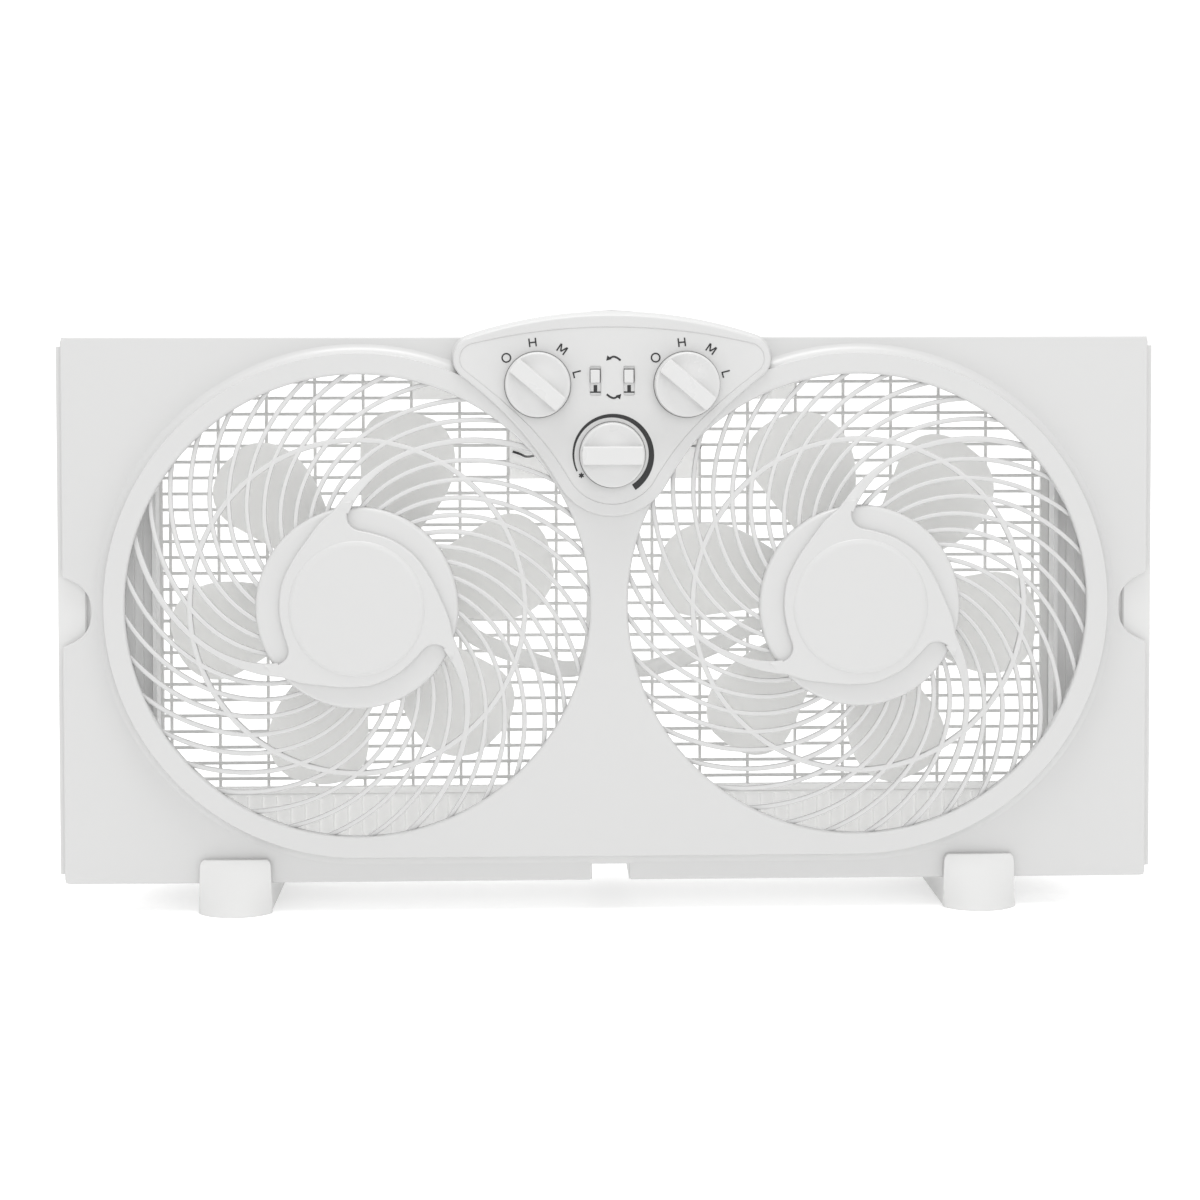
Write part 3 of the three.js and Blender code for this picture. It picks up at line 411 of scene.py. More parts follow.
def shield(peak, lobe, corner_x, corner_z, radius, inset=0.0):
    """A shield with a crowned top, round shoulders and a lobe at the bottom, anticlockwise from the right."""
    radius, lobe, top = radius - inset, lobe - inset, peak - inset
    drop = top - corner_z
    crown = (corner_x ** 2 + drop ** 2 - radius ** 2) / (2 * (drop - radius))
    lean = math.atan2(crown - drop, corner_x)
    shoulder, hip = math.radians(52), math.radians(30)

    def side(sign):
        start = (sign * (corner_x + radius * math.cos(shoulder)), corner_z - radius * math.sin(shoulder))
        end = (sign * lobe * math.cos(hip), DIAL_Z - lobe * math.sin(hip))
        reach = math.hypot(start[0] - end[0], start[1] - end[1]) * 0.37
        a = (start[0] - sign * math.sin(shoulder) * reach, start[1] - math.cos(shoulder) * reach)
        b = (end[0] + sign * math.sin(hip) * reach, end[1] + math.cos(hip) * reach)
        return bezier(start, a, b, end, 32)[1:-1]

    pts = arc(0, top - crown, crown, lean, math.pi - lean, 48)
    pts += arc(-corner_x, corner_z, radius, math.pi - lean, math.pi + shoulder, 24)[1:]
    pts += side(-1)
    pts += arc(0, DIAL_Z, lobe, math.pi + hip, 2 * math.pi - hip, 40)
    pts += side(1)[::-1]
    pts += arc(corner_x, corner_z, radius, -shoulder, lean, 24)[:-1]
    return [(x + CONSOLE_X, z) for x, z in pts]


def console(inset=0.0):
    return shield(CROWN_PEAK, 33.8, 74.8, 288.0, 12.0, inset)


def insert(inset=0.0):
    return shield(305.3, 27.0, 74.5, 288.0, 8.5, inset)


# ------------------------------------------------------------------ front shell


def finger_notch(side):
    """The bell-shaped notch in the body's end, from its upper to its lower end."""
    def p(inward, up):
        return (side * (WIDTH / 2 - inward), HEIGHT / 2 + up)

    half = bezier(p(0, 19.5), p(5.5, 16.4), p(15.6, 14.4), p(15.6, 0), 18)
    return half + [(x, HEIGHT - z) for x, z in half[::-1][1:]]


def crown_line():
    """The top edge from right to left: the crown's arc with a hollow fillet at each foot."""
    centre = CROWN_PEAK - CROWN_RADIUS
    rise = HEIGHT + CROWN_HOLLOW - centre
    reach = math.sqrt((CROWN_RADIUS + CROWN_HOLLOW) ** 2 - rise ** 2)
    lean = math.atan2(rise, reach)
    right = arc(CONSOLE_X + reach, HEIGHT + CROWN_HOLLOW, CROWN_HOLLOW, -math.pi / 2, -math.pi + lean, 8)
    left = [(2 * CONSOLE_X - x, z) for x, z in right[::-1]]
    return right + arc(CONSOLE_X, centre, CROWN_RADIUS, lean, math.pi - lean, 30)[1:-1] + left


def plate_outline():
    """The flat plate: a rounded rectangle with the notches and the crown."""
    w, h, r, cut = WIDTH / 2, HEIGHT, CORNER, 1.2
    left, right = CORD_X - CORD_HALF, CORD_X + CORD_HALF
    pts = [(left - cut, 0), (left, cut), (left, CORD_TOP), (right, CORD_TOP), (right, cut), (right + cut, 0)]
    pts += arc(w - r, r, r, -math.pi / 2, 0, 6)
    pts += finger_notch(1)[::-1]
    pts += arc(w - r, h - r, r, 0, math.pi / 2, 6)
    pts += crown_line()
    pts += arc(-w + r, h - r, r, math.pi / 2, math.pi, 6)
    pts += finger_notch(-1)
    pts += arc(-w + r, r, r, math.pi, 3 * math.pi / 2, 6)
    return pts


def raised_outline(out):
    """The raised face's outline, moved outwards; anticlockwise from the bottom of the right ring."""
    ring = RING_OUTER + out
    shell = console(0.2 - out * 0.35)

    def meet(sign):
        """Where the ring runs under the console's shoulder: a point of its outline and an angle."""
        near = [(abs(math.hypot(x - sign * FAN_X, z - FAN_Z) - ring), i) for i, (x, z) in enumerate(shell)
                if (x - CONSOLE_X) * sign >= 40 and 270 <= z <= 296]
        i = min(near)[1]
        return i, math.atan2(shell[i][1] - FAN_Z, shell[i][0] - sign * FAN_X)

    (first, right), (last, left) = meet(1), meet(-1)
    n = len(shell)
    path = [shell[(first + k) % n] for k in range((last - first) % n + 1)]
    pts = arc(FAN_X, FAN_Z, ring, -math.pi / 2, right, 90)[:-1]
    pts += resample(path, 90)
    pts += arc(-FAN_X, FAN_Z, ring, left, 3 * math.pi / 2, 90)[1:]
    return pts


def raised_face():
    """The raised face, its fall back to the plate and the rolled edge of both openings."""
    levels, lip, roll_steps = 8, 1.6, 5
    rings = []
    for k in range(levels + 1):
        a = math.pi / 2 * k / levels
        out, y = FILLET * (1 - math.cos(a)), PLATE * math.sin(a)
        rings.append([(x, y if y < PLATE else PLATE + 0.3, z) for x, z in raised_outline(out)])
    shells = [strip(rings, caps=False)]
    holes = [circle(s * FAN_X, FAN_Z, OPENING + lip, 200) for _, s in SIDES]
    shells.append(holed_face([(x, z) for x, _, z in rings[0]], holes, 0.0))
    turns = [math.pi / 2 * k / roll_steps for k in range(roll_steps + 1)]
    profile = [(OPENING + lip - lip * math.sin(a), lip - lip * math.cos(a)) for a in turns]
    profile += [(OPENING, 2.4), (OPENING + 3.4, 2.5), (OPENING + 3.4, 12.0), (OPENING + 5.9, 12.0),
                (OPENING + 5.9, 1.0)]
    shells += [lathe(profile, 200, s * FAN_X, FAN_Z, caps=False) for _, s in SIDES]
    return merged("front_face", shells, WHITE, 30.0)


def console_border():
    """The console's border: a step up from the raised face, a flat border and the window's edge."""
    edge = 1.3
    rings = [[(x, PLATE if z > 262 else 0.4, z) for x, z in console(-0.1)],
             [(x, 0.0, z) for x, z in console()]]
    for k in range(6):
        a = math.pi / 2 * k / 5
        y = CONSOLE_FACE + edge * (1 - math.sin(a))
        rings.append([(x, y, z) for x, z in console(edge * (1 - math.cos(a)))])
    for inset, fall in ((-0.4, 0.0), (-0.2, 0.12), (-0.12, 0.42), (0.3, 0.45)):
        rings.append([(x, CONSOLE_FACE + fall, z) for x, z in insert(inset)])
    return mesh_of("console_border", *strip(rings, caps=False), WHITE, 30.0)


plate_holes = [circle(s * FAN_X, FAN_Z, PLATE_HOLE) for _, s in SIDES]
front_plate = face_curve("front_plate", [plate_outline()] + plate_holes, PLATE, PLATE_BACK, 0.9, WHITE)
show(front_plate, "frame", "body_white", "front_shell")
show(raised_face(), "frame", "body_white")
show(console_border(), "frame", "body_white")

# ------------------------------------------------------------------ front grilles


def dome(r):
    """Depth of the bars' front at a radius."""
    t = min(1.0, max(0.0, (r - HUB) / (OPENING - HUB)))
    return DOME_EDGE - DOME_RISE * math.cos(t * math.pi / 2)


def spiral(start, arm):
    """One curved bar from the hub to the ring; an arm is thicker and stands proud near the hub."""
    rings = []
    steps = 26
    r0, r1 = HUB - 1.2, OPENING + 1.3
    turn = -SWEEP / (OPENING - HUB)
    for i in range(steps + 1):
        t = i / steps
        r = r0 + (r1 - r0) * t
        a = start + turn * (r - HUB)
        cx, cz = r * math.cos(a), r * math.sin(a)
        tx, tz = math.cos(a) - r * turn * math.sin(a), math.sin(a) + r * turn * math.cos(a)
        n = math.hypot(tx, tz)
        nx, nz = -tz / n, tx / n
        width, front, back = BAR_WIDTH, dome(r), dome(r) + BAR_DEPTH
        if arm:
            width = 3.3 + 4.3 * max(0.0, 1 - 2.8 * t) ** 1.3
            front -= 6.0 * (1 - smooth((r - 56) / 24))
        h = width / 2
        e = min(0.8, h * 0.7)
        section = [(h * 0.72, back), (h, front + e), (h - e * 0.3, front + e * 0.3), (h - e, front),
                   (-h + e, front), (-h + e * 0.3, front + e * 0.3), (-h, front + e), (-h * 0.72, back)]
        rings.append([(cx + nx * s, y, cz + nz * s) for s, y in section])
    return strip(rings)


def rounded_hoop(inner, outer, y0, y1, edge=0.6):
    """A ring with a rounded front."""
    profile = [(inner, y1), (inner, y0 + edge), (inner + edge * 0.3, y0 + edge * 0.3), (inner + edge, y0),
               (outer - edge, y0), (outer - edge * 0.3, y0 + edge * 0.3), (outer, y0 + edge), (outer, y1)]
    return lathe(profile, 180, closed=True)


def swirl_outline():
    """Three long crescents, each with a round hook where it starts at an arm's root."""
    hook = ((58.6, 5.9), (HUB + 0.6, 3.6), (51.6, 1.5), (47.5, 1.6), (44.3, 4.0), (SWIRL, 8.5),
            (SWIRL - 0.8, 18), (SWIRL - 0.7, 35), (SWIRL, 55), (SWIRL + 0.8, 75), (45.8, 91), (50.5, 104),
            (54.3, 113.3), (56.8, 116.4), (58.6, 118.6))  # radius, and degrees back from the arm
    pts = []
    for k in range(ARMS):
        first = ARM - k * 2 * math.pi / ARMS
        turns = [(r, first - math.radians(a)) for r, a in hook]
        pts += through([(r * math.cos(a), r * math.sin(a)) for r, a in turns])
    return pts


def grille(name, side):
    """One front grille: its bars, two rings, the hub's ledge, the boss and the swirl plate."""
    shells = [spiral(ARM + i * 2 * math.pi / BARS, i % (BARS // ARMS) == 0) for i in range(BARS)]
    mid = dome(91) + 0.1
    shells.append(rounded_hoop(*MIDDLE_RING, mid, mid + 3.3))
    shells.append(rounded_hoop(OPENING + 0.4, OPENING + 3.1, 2.9, 8.0))
    ledge = [(HUB - 2.5, 0.0), (HUB, 0.0), (HUB, LEDGE + 2.2), (HUB - 0.35, LEDGE + 1.0),
             (HUB - 1.1, LEDGE + 0.3), (HUB - 2.2, LEDGE), (20.0, LEDGE)]
    shells.append(lathe(ledge, 200, caps=False))
    rim = ((0.4, 0.1), (0.2, -0.1), (-0.2, -0.4), (-0.7, -0.66), (-1.3, -0.86), (-2.0, -0.97), (-2.8, -1.0))
    boss = [(BOSS + out, BOSS_FACE + fall) for out, fall in rim] + [(0.001, BOSS_FACE - 1.0)]
    shells.append(lathe(boss, 160, caps=False))
    web = merged(f"{name}_grille_web", moved(shells, side * FAN_X, FAN_Z), GRILLE_WHITE, 34.0)
    show(web, "frame", "grille_white", f"{name}_front_grille")
    outline = [(x + side * FAN_X, z + FAN_Z) for x, z in swirl_outline()]
    plate = face_curve(f"{name}_grille_swirl", [outline], BOSS_FACE, LEDGE + 0.5, 0.9, GRILLE_WHITE)
    show(plate, "frame", "grille_white")


for side_name, s in SIDES:
    grille(side_name, s)

# ------------------------------------------------------------------ rotors and motors


def blade_edge(r, start, power):
    """Half of a blade's spread at a radius, which closes from the start to the tip."""
    tip = BLADE_TIP + 0.5
    t = min(1.0, max(0.0, (r - start) / (tip - start)))
    return BLADE_SPREAD * (1 - t ** power) ** (1 / power)


def blade_shell(middle):
    """One pitched and cambered blade with a round tip."""
    rows, cols = 26, 12
    rings = []
    for i in range(rows + 1):
        t = i / rows
        r = BLADE_ROOT + (BLADE_TIP - BLADE_ROOT) * (1 - (1 - t) ** 1.5)
        pitch = math.radians(33 - 10 * r / BLADE_TIP)
        front, back = [], []
        for j in range(cols + 1):
            u = -1 + 2 * j / cols
            spread = blade_edge(r, 79, 2.5) if u > 0 else blade_edge(r, 62, 2.0)
            y = BLADE_Y + u * spread * r * math.tan(pitch) + 2.4 * (1 - u * u) * spread / BLADE_SPREAD
            a = middle + u * spread
            thick = 0.9 * (1 - 0.75 * u ** 8) * (1 - 0.6 * t ** 10)
            front.append((r * math.cos(a), y - thick, r * math.sin(a)))
            back.append((r * math.cos(a), y + thick, r * math.sin(a)))
        rings.append(front + back[::-1])
    return strip(rings)


def rotor(name, side, first):
    """The blades on their hub, with ribs inside it, the shaft and its nut."""
    body = f"{name}_rotor"
    step = 360 / BLADES
    shells = [blade_shell(math.radians(first + step * k)) for k in range(BLADES)]
    cup = [(4.3, 34), (25, 34), (28, 35), (29.6, 37.4), (30, 40), (30, 58), (27.8, 58), (27.8, 39), (8, 39),
           (8, 54), (4.3, 54)]
    shells.append(lathe(soften(cup, 0.5), 96, closed=True))
    for k in range(BLADES):
        a = math.radians(first + step * (k + 0.5))
        c, d = math.cos(a), math.sin(a)
        verts, faces = boxed(8, 27.9, 39, 52, -0.7, 0.7)
        shells.append(([(x * c - z * d, y, x * d + z * c) for x, y, z in verts], faces))
    blades = merged(f"{name}_rotor_blades", moved(shells, side * FAN_X, FAN_Z), BLADE_GREY, 38.0)
    show(blades, body, "blade_grey", f"{name}_fan_rotor")
    shaft = [lathe([(0.01, 26), (3.4, 26), (4, 26.6), (4, 91.9)], 48)]
    show(merged(f"{name}_turned_shaft", moved(shaft, side * FAN_X, FAN_Z), SHAFT_STEEL), body, "shaft_steel",
         f"{name}_motor_shaft")
    nut = [lathe([(4.3, 27.7), (7, 27.7), (9, 29.7), (9, 33.7), (4.3, 33.7)], 6, closed=True)]
    nut = merged(f"{name}_shaft_nut", moved(nut, side * FAN_X, FAN_Z), DARK)
    show(bevel(nut, 0.5), body, "dark_plastic", f"{name}_spinner_nut")


def windings():
    """Four coils at each end of the stator, each a sausage bent round the axis."""
    coils = []
    for y in (68.6, 87.3):
        for k in range(4):
            rings = []
            for i in range(17):
                a = math.radians(45 + 90 * k - 34 + 68 * i / 16)
                cx, cz = 26.5 * math.cos(a), 26.5 * math.sin(a)
                rings.append([(cx + u * math.cos(a), y + v, cz + u * math.sin(a))
                              for u, v in [(4.6 * p, 2.6 * q) for p, q in circle(0, 0, 1, 14)]])
            coils.append(strip(rings))
    return coils


def motor(name, side):
    """Two pressed cups, the stator between them and its windings."""
    r = MOTOR_RADIUS
    cup = [(5.2, 0), (r - 5, 0), (r - 1.5, 1.2), (r, 4), (r, 13.6), (r + 1.6, 14.2), (r + 1.6, 15.8),
           (r - 2, 15.8), (r - 2, 4.4), (r - 5.5, 2), (10.3, 2), (10.3, 8), (8.3, 8), (8.3, 1.4), (5.2, 1.4)]
    for part, sign, y in (("front", 1, MOTOR_FRONT), ("rear", -1, MOTOR_BACK)):
        case = [lathe([(a, y + sign * b) for a, b in cup], 96, closed=True)]
        case = merged(f"{name}_{part}_case", moved(case, side * FAN_X, FAN_Z), STEEL, 30.0)
        show(case, "frame", "motor_steel", f"{name}_motor_{part}_bell")
    core = [lathe([(18.6, 71.5), (33.7, 71.5), (33.7, 84.4), (18.6, 84.4)], 96, closed=True)]
    show(merged(f"{name}_stator_ring", moved(core, side * FAN_X, FAN_Z), LAMINATION), "frame", "laminations",
         f"{name}_stator")
    coils = merged(f"{name}_windings", moved(windings(), side * FAN_X, FAN_Z), COPPER, 60.0)
    show(coils, "frame", "laminations")


for side_name, s in SIDES:
    rotor(side_name, s, FIRST_BLADE[side_name])
    motor(side_name, s)

# ------------------------------------------------------------------ console insert and slides


def slot_outline(x, z, w, h, r=0.8):
    """A rectangle with round corners."""
    pts = []
    for cx, cz, a in ((1, 1, 0), (-1, 1, 1), (-1, -1, 2), (1, -1, 3)):
        pts += arc(x + cx * (w / 2 - r), z + cz * (h / 2 - r), r, a * math.pi / 2, (a + 1) * math.pi / 2, 4)
    return pts


def printed(name, outlines, depth=INSERT_FRONT):
    """Ink on the console's insert, or on a face at another depth."""
    verts, faces = [], []
    for k, outline in enumerate(outlines):
        base = len(verts)
        y = depth - 0.05 - 0.0004 * k
        verts += [(x, y, z) for x, z in outline]
        faces.append(tuple(range(base, base + len(outline))))
    mesh = bpy.data.meshes.new(name)
    mesh.from_pydata([tuple(at(*v)) for v in verts], [], faces)
    bm = bmesh.new()
    bm.from_mesh(mesh)
    bmesh.ops.triangulate(bm, faces=bm.faces)
    for f in bm.faces:
        f.normal_update()
        if f.normal.y > 0:
            f.normal_flip()
    bm.to_mesh(mesh)
    bm.free()
    return show(finish_mesh(name, mesh, PRINT, weighted=False), "frame", "dark_plastic")


def slide(name, x, z):
    """A slide switch: the floor of its slot, the thumb and a dark sheet behind the thumb, a painted shadow
    round it.
    """
    body = f"{name}_direction_control"
    floor = boxed(x - 3.4, x + 3.4, SLOT_FLOOR, SLOT_FLOOR + 0.6, z - 8.4, z + 8.4)
    show(mesh_of(f"{name}_slot_plate", *floor, KNOB_WHITE), "frame", "console_white")
    # a painted shadow: a dark sheet just behind the thumb that shows as thin dark lines round it
    painted_shadow = boxed(x - 2.8, x + 2.8, SLOT_FLOOR - 0.16, SLOT_FLOOR - 0.08, z - 1.0, z + 6.6)
    show(mesh_of(f"{name}_thumb_painted_shadow", *painted_shadow, SHADE), body, "dark_plastic")
    thumb = boxed(x - 2.75, x + 2.35, INSERT_FRONT - 2.2, SLOT_FLOOR - 0.2, z - 1.0, z + 6.05)
    thumb = mesh_of(f"{name}_slide_thumb", *thumb, THUMB_WHITE)
    show(bevel(thumb, 0.35), body, "knob_white", f"{name}_direction_button")


def slot_mark(x, z):
    """The mark under a thumb: a short post on a bar."""
    return [[(x - 2.9, z - 6.6), (x + 2.9, z - 6.6), (x + 2.9, z - 5.8), (x - 2.9, z - 5.8)],
            [(x - 1.0, z - 5.9), (x + 1.0, z - 5.9), (x + 1.0, z - 2.3), (x - 1.0, z - 2.3)]]


insert_holes = [slot_outline(x, z, 6, 16) for x, z in SLIDERS]
insert_holes += [circle(x, z, SPINDLE_HOLE, 40) for x, z, _ in KNOBS.values()]
console_face = face_curve("console_face", [insert()] + insert_holes, INSERT_FRONT, 0.3, 0.35, CONSOLE_WHITE)
show(console_face, "frame", "console_white", "console_insert")
for (side_name, _), (slide_x, slide_z) in zip(SIDES, SLIDERS):
    slide(side_name, slide_x, slide_z)
printed("slot_marks", [mark for x, z in SLIDERS for mark in slot_mark(x, z)], SLOT_FLOOR)

# ------------------------------------------------------------------ printed marks


def warm_arc():
    """The thermostat's mark: a star, then an arc that thickens clockwise over the top."""
    start, end, steps, radius = math.radians(205), math.radians(-57), 90, 21.3
    outer, inner = [], []
    for i in range(steps + 1):
        t = i / steps
        a = start + (end - start) * t
        h = 0.4 + 1.4 * t
        outer.append((CONSOLE_X + (radius + h) * math.cos(a), DIAL_Z + (radius + h) * math.sin(a)))
        inner.append((CONSOLE_X + (radius - h) * math.cos(a), DIAL_Z + (radius - h) * math.sin(a)))
    quads = [(outer[i], outer[i + 1], inner[i + 1], inner[i]) for i in range(steps)]
    a = math.radians(213.7)
    cx, cz = CONSOLE_X + 20.4 * math.cos(a), DIAL_Z + 20.4 * math.sin(a)
    for k in range(3):
        b = math.radians(90 + 60 * k)
        u, v = 1.5 * math.cos(b), 1.5 * math.sin(b)
        p, q = -0.36 * math.sin(b), 0.36 * math.cos(b)
        quads.append([(cx + u + p, cz + v + q), (cx - u + p, cz - v + q), (cx - u - p, cz - v - q),
                      (cx + u - p, cz + v - q)])
    quads.append(circle(cx, cz, 0.95, 20))
    return quads


def arrow(z, way):
    """A small curved arrow over (way 1) or under (way -1) the two slides."""
    x0, half = CONSOLE_X + 0.75, 0.56
    bow = ((-2.1, -0.35), (-0.2, 0.55), (1.9, -0.1), (3.8, -1.55))
    spine = through([(x0 + way * a, z + way * b) for a, b in bow])
    quads = []
    for (ax, az), (bx, bz) in zip(spine, spine[1:]):
        n = math.hypot(bx - ax, bz - az)
        u, v = -(bz - az) / n * half, (bx - ax) / n * half
        quads.append([(ax + u, az + v), (ax - u, az - v), (bx - u, bz - v), (bx + u, bz + v)])
    quads.append([(x0 + way * a, z + way * b) for a, b in ((-4.1, -1.7), (-3.4, 1.3), (-1.1, -0.8))])
    return quads


def letter(text, x, z, turn):
    """One dial mark made of straight strokes, with its head pointing away from the knob."""
    h, w, half = 2.35, 1.75, 0.4

    def stroke(x0, z0, x1, z1):
        n = math.hypot(x1 - x0, z1 - z0)
        a, b = (z1 - z0) / n * half, -(x1 - x0) / n * half
        return [(x0 + a, z0 + b), (x1 + a, z1 + b), (x1 - a, z1 - b), (x0 - a, z0 - b)]

    strokes = {
        "H": ((-w, -h, -w, h), (w, -h, w, h), (-w, 0, w, 0)),
        "M": ((-w - 0.3, -h, -w - 0.3, h), (w + 0.3, -h, w + 0.3, h), (-w - 0.1, h, 0, -h * 0.6),
              (w + 0.1, h, 0, -h * 0.6)),
        "L": ((-w + 0.3, -h, -w + 0.3, h), (-w, -h + 0.35, w - 0.2, -h + 0.35)),
    }
    if text == "O":
        rim, hole = circle(0, 0, h + 0.35, 40), circle(0, 0, h - 0.45, 40)
        shapes = [[rim[i - 1], rim[i], hole[i], hole[i - 1]] for i in range(40)]
    else:
        shapes = [stroke(*line) for line in strokes[text]]
    c, d = math.cos(turn), math.sin(turn)
    return [[(x + u * c - v * d, z + u * d + v * c) for u, v in shape] for shape in shapes]


def dial_letters(x, z):
    """The marks round a speed knob, each at its angle and its distance from the knob's centre."""
    shapes = []
    for text, degrees, far in (("O", 139.4, 22.4), ("H", 96.8, 23.1), ("M", 55.2, 23.4), ("L", 14.3, 22.3)):
        a = math.radians(degrees)
        shapes += letter(text, x + far * math.cos(a), z + far * math.sin(a), a - math.pi / 2)
    return shapes


marks = warm_arc() + arrow(288.6, 1) + arrow(267.1, -1)
for knob_name in ("left_speed", "right_speed"):
    marks += dial_letters(*KNOBS[knob_name][:2])
printed("console_marks", marks)

# ------------------------------------------------------------------ knobs


def knob(name, x, z, degrees):
    """A knob: a low dished skirt with a tall grip bar across it and a painted shadow line round it."""
    is_thermostat = name == "thermostat"
    body = "thermostat_control" if is_thermostat else f"{name}_control"
    r, back = KNOB_RADIUS, INSERT_FRONT - 0.7
    top, floor = back - KNOB_HEIGHT, back - 8.6
    rises = ((0.001, -0.8), (6, -0.2), (10, 0.5), (13.5, 0.55), (15.6, 0.2), (16.6, 0), (17.1, 0.12),
             (17.45, 0.5), (17.6, 1.0))
    skirt = lathe([(a, floor + b) for a, b in rises] + [(r, back)], 120, caps=False)
    dial = merged(f"{name}_dial", moved([skirt], x, z), KNOB_WHITE, 40.0)
    show(dial, body, "knob_white", "thermostat_knob" if is_thermostat else f"{name}_knob")
    half, reach = 5.0 if is_thermostat else 4.5, r - 1.0
    end = math.asin(half / reach)
    turn = math.radians(degrees)
    outline = arc(x, z, reach, turn - end, turn + end, 10)
    outline += arc(x, z, reach, turn + math.pi - end, turn + math.pi + end, 10)
    show(face_curve(f"{name}_grip", [outline], top, floor + 1.8, 0.7, KNOB_WHITE), body, "knob_white")
    # a painted shadow: a flat dark ring on the console face round the knob's edge, where the gap lies in
    # shade
    line = INSERT_FRONT - 0.05
    ring = lathe([(r - 1.0, line), (r + 0.35, line)], 90, x, z, caps=False)
    show(merged(f"{name}_gap_shadow", [ring], SHADE), "frame", "dark_plastic")


for knob_name, (knob_x, knob_z, angle) in KNOBS.items():
    knob(knob_name, knob_x, knob_z, angle)

# ------------------------------------------------------------------ feet


def foot_ring(x, z):
    """The bowed toe's outline at a height; its bottom and top edges are rounded."""
    t = (z + FOOT_DROP) / (FOOT_DROP + FOOT_TAB)
    bulge = 11.6 * (1 - t) ** 1.5 + 0.5
    width, lift = FOOT_HALF + 0.8 * (1 - t), 0.0
    if z > 10:
        width -= 2.6 * (1 - math.sqrt(max(0.0, 1 - ((z - 10) / 3.6) ** 2)))
    if z < 0.5 - FOOT_DROP:
        width -= 0.5
    if z < 0.5 - FOOT_DROP or z > FOOT_TAB - 0.5:
        lift = 0.5
    radius = (width ** 2 + bulge ** 2) / (2 * bulge)
    swing = math.asin(min(1.0, width / radius))
    front = 3.6 - bulge + lift
    bow = arc(x, front + radius, radius, -math.pi / 2 - swing, -math.pi / 2 + swing, 24)
    return [(a, y, z) for a, y in bow + [(x + width, PLATE - 0.3), (x - width, PLATE - 0.3)]]


def foot(name, side):
    """A push-on foot: a bowed toe, a long sole under the body and a tab behind it."""
    x, half = side * FOOT_X, 19.4
    heights = (-16.0, -15.4, -14.0, -10.0, -6.0, -3.0, -0.5, 3.0, 7.0, 10.0, 12.0, 13.1, 13.5)
    shells = [strip([foot_ring(x, z) for z in heights]),
              boxed(x - half, x + half, 6.8, FOOT_BACK, -FOOT_DROP, -0.3),
              boxed(x - half, x + half, DEPTH + 0.3, DEPTH + 4.3, -1.3, FOOT_TAB)]
    obj = merged(f"{name}_foot_body", shells, FOOT_WHITE, 34.0)
    show(bevel(obj, 0.5, 50.0), "frame", "body_white", f"{name}_foot")


for side_name, s in SIDES:
    foot(side_name, s)

# ------------------------------------------------------------------ leads and wires


def lead(name, side):
    """A flat sleeved band from the motor to the middle, where it turns up to the switch tray."""
    y = 85.0
    route = [(100.3, y, 140), (92, y, 136), (81, y, 130.5), (71, y, 124.5), (60, y, 119.5), (49, y, 115.5),
             (36, y, 111), (24, y, 108), (14, y - 1, 110), (9, y - 4, 122), (8, y - 9, 146), (8, y - 26, 176),
             (8, 40, 196), (8, 28, 205), (8, 26, 209.6)]

    def section(t):
        wide = 2.8 + 2.0 * smooth(t / 0.05) * smooth((0.72 - t) / 0.2)
        return [(wide * math.copysign(abs(c) ** 0.6, c), 1.5 * d) for c, d in circle(0, 0, 1, 20)]

    rings = [[(side * x, y, z) for x, y, z in ring] for ring in swept(route, (0, 1, 0), (0, 0, 1), section)]
    obj = mesh_of(f"{name}_sleeved_lead", *strip(rings), SHEATH, 50.0)
    show(obj, "frame", "wire_sheath", f"{name}_motor_lead")


def wire(name, route, radius=0.7):
    """A thin dark wire."""
    rings = swept(route, (0, 0, 1), (1, 0, 0), lambda t: circle(0, 0, radius, 10))
    show(mesh_of(name, *strip(rings), DARK, 60.0), "frame", "dark_plastic")


for side_name, s in SIDES:
    lead(side_name, s)

# ------------------------------------------------------------------ rear grille


def rear_guard():
    """The rear grille: a border, rows in front, uprights behind and two blanks behind the console."""
    w, z0, z1, border = GUARD_X, GUARD_LOW, GUARD_HIGH, GUARD_BORDER
    front, back, half = GUARD_FRONT, DEPTH, GUARD_BAR / 2
    shells = [boxed(-w, w, front, back, z0, z0 + border), boxed(-w, w, front, back, z1 - border, z1),
              boxed(-w, -w + border, front, back, z0, z1), boxed(w - border, w, front, back, z0, z1)]
    for row in range(1, 27):
        z = z0 - 0.3 + row * ROW_PITCH
        shells.append(boxed(-w + 1, w - 1, front + 0.1, front + 2.1, z - half, z + half))
    for k in range(-9, 10):
        x = k * UPRIGHT_PITCH
        shells.append(boxed(x - half, x + half, back - 2.1, back - 0.1, z0 + 1, z1 - 1))
    for reach, low, high in ((55.0, 218.0, 264.0), (111.0, 264.0, z1 - 1)):
        shells.append(boxed(-reach, reach, front + 0.2, back - 0.2, low, high))
    obj = merged("rear_guard_bars", shells, GREY_WHITE, 30.0)
    show(bevel(obj, 0.35), "frame", "grey_white", "rear_grille")


def motor_seats():
    """The round seats in the rear grille that carry the motors."""
    profile = [(0.01, 94.3), (40, 94.3), (42, 95.0), (42, 99.0), (41, 100.0), (34, 100.0), (33.4, 99.4),
               (20, 99.4), (19.4, 100.0), (0.01, 100.0)]
    seats = [lathe(profile, 120, s * FAN_X, FAN_Z) for _, s in SIDES]
    show(merged("rear_guard_seats", seats, GREY_WHITE, 30.0), "frame", "grey_white")


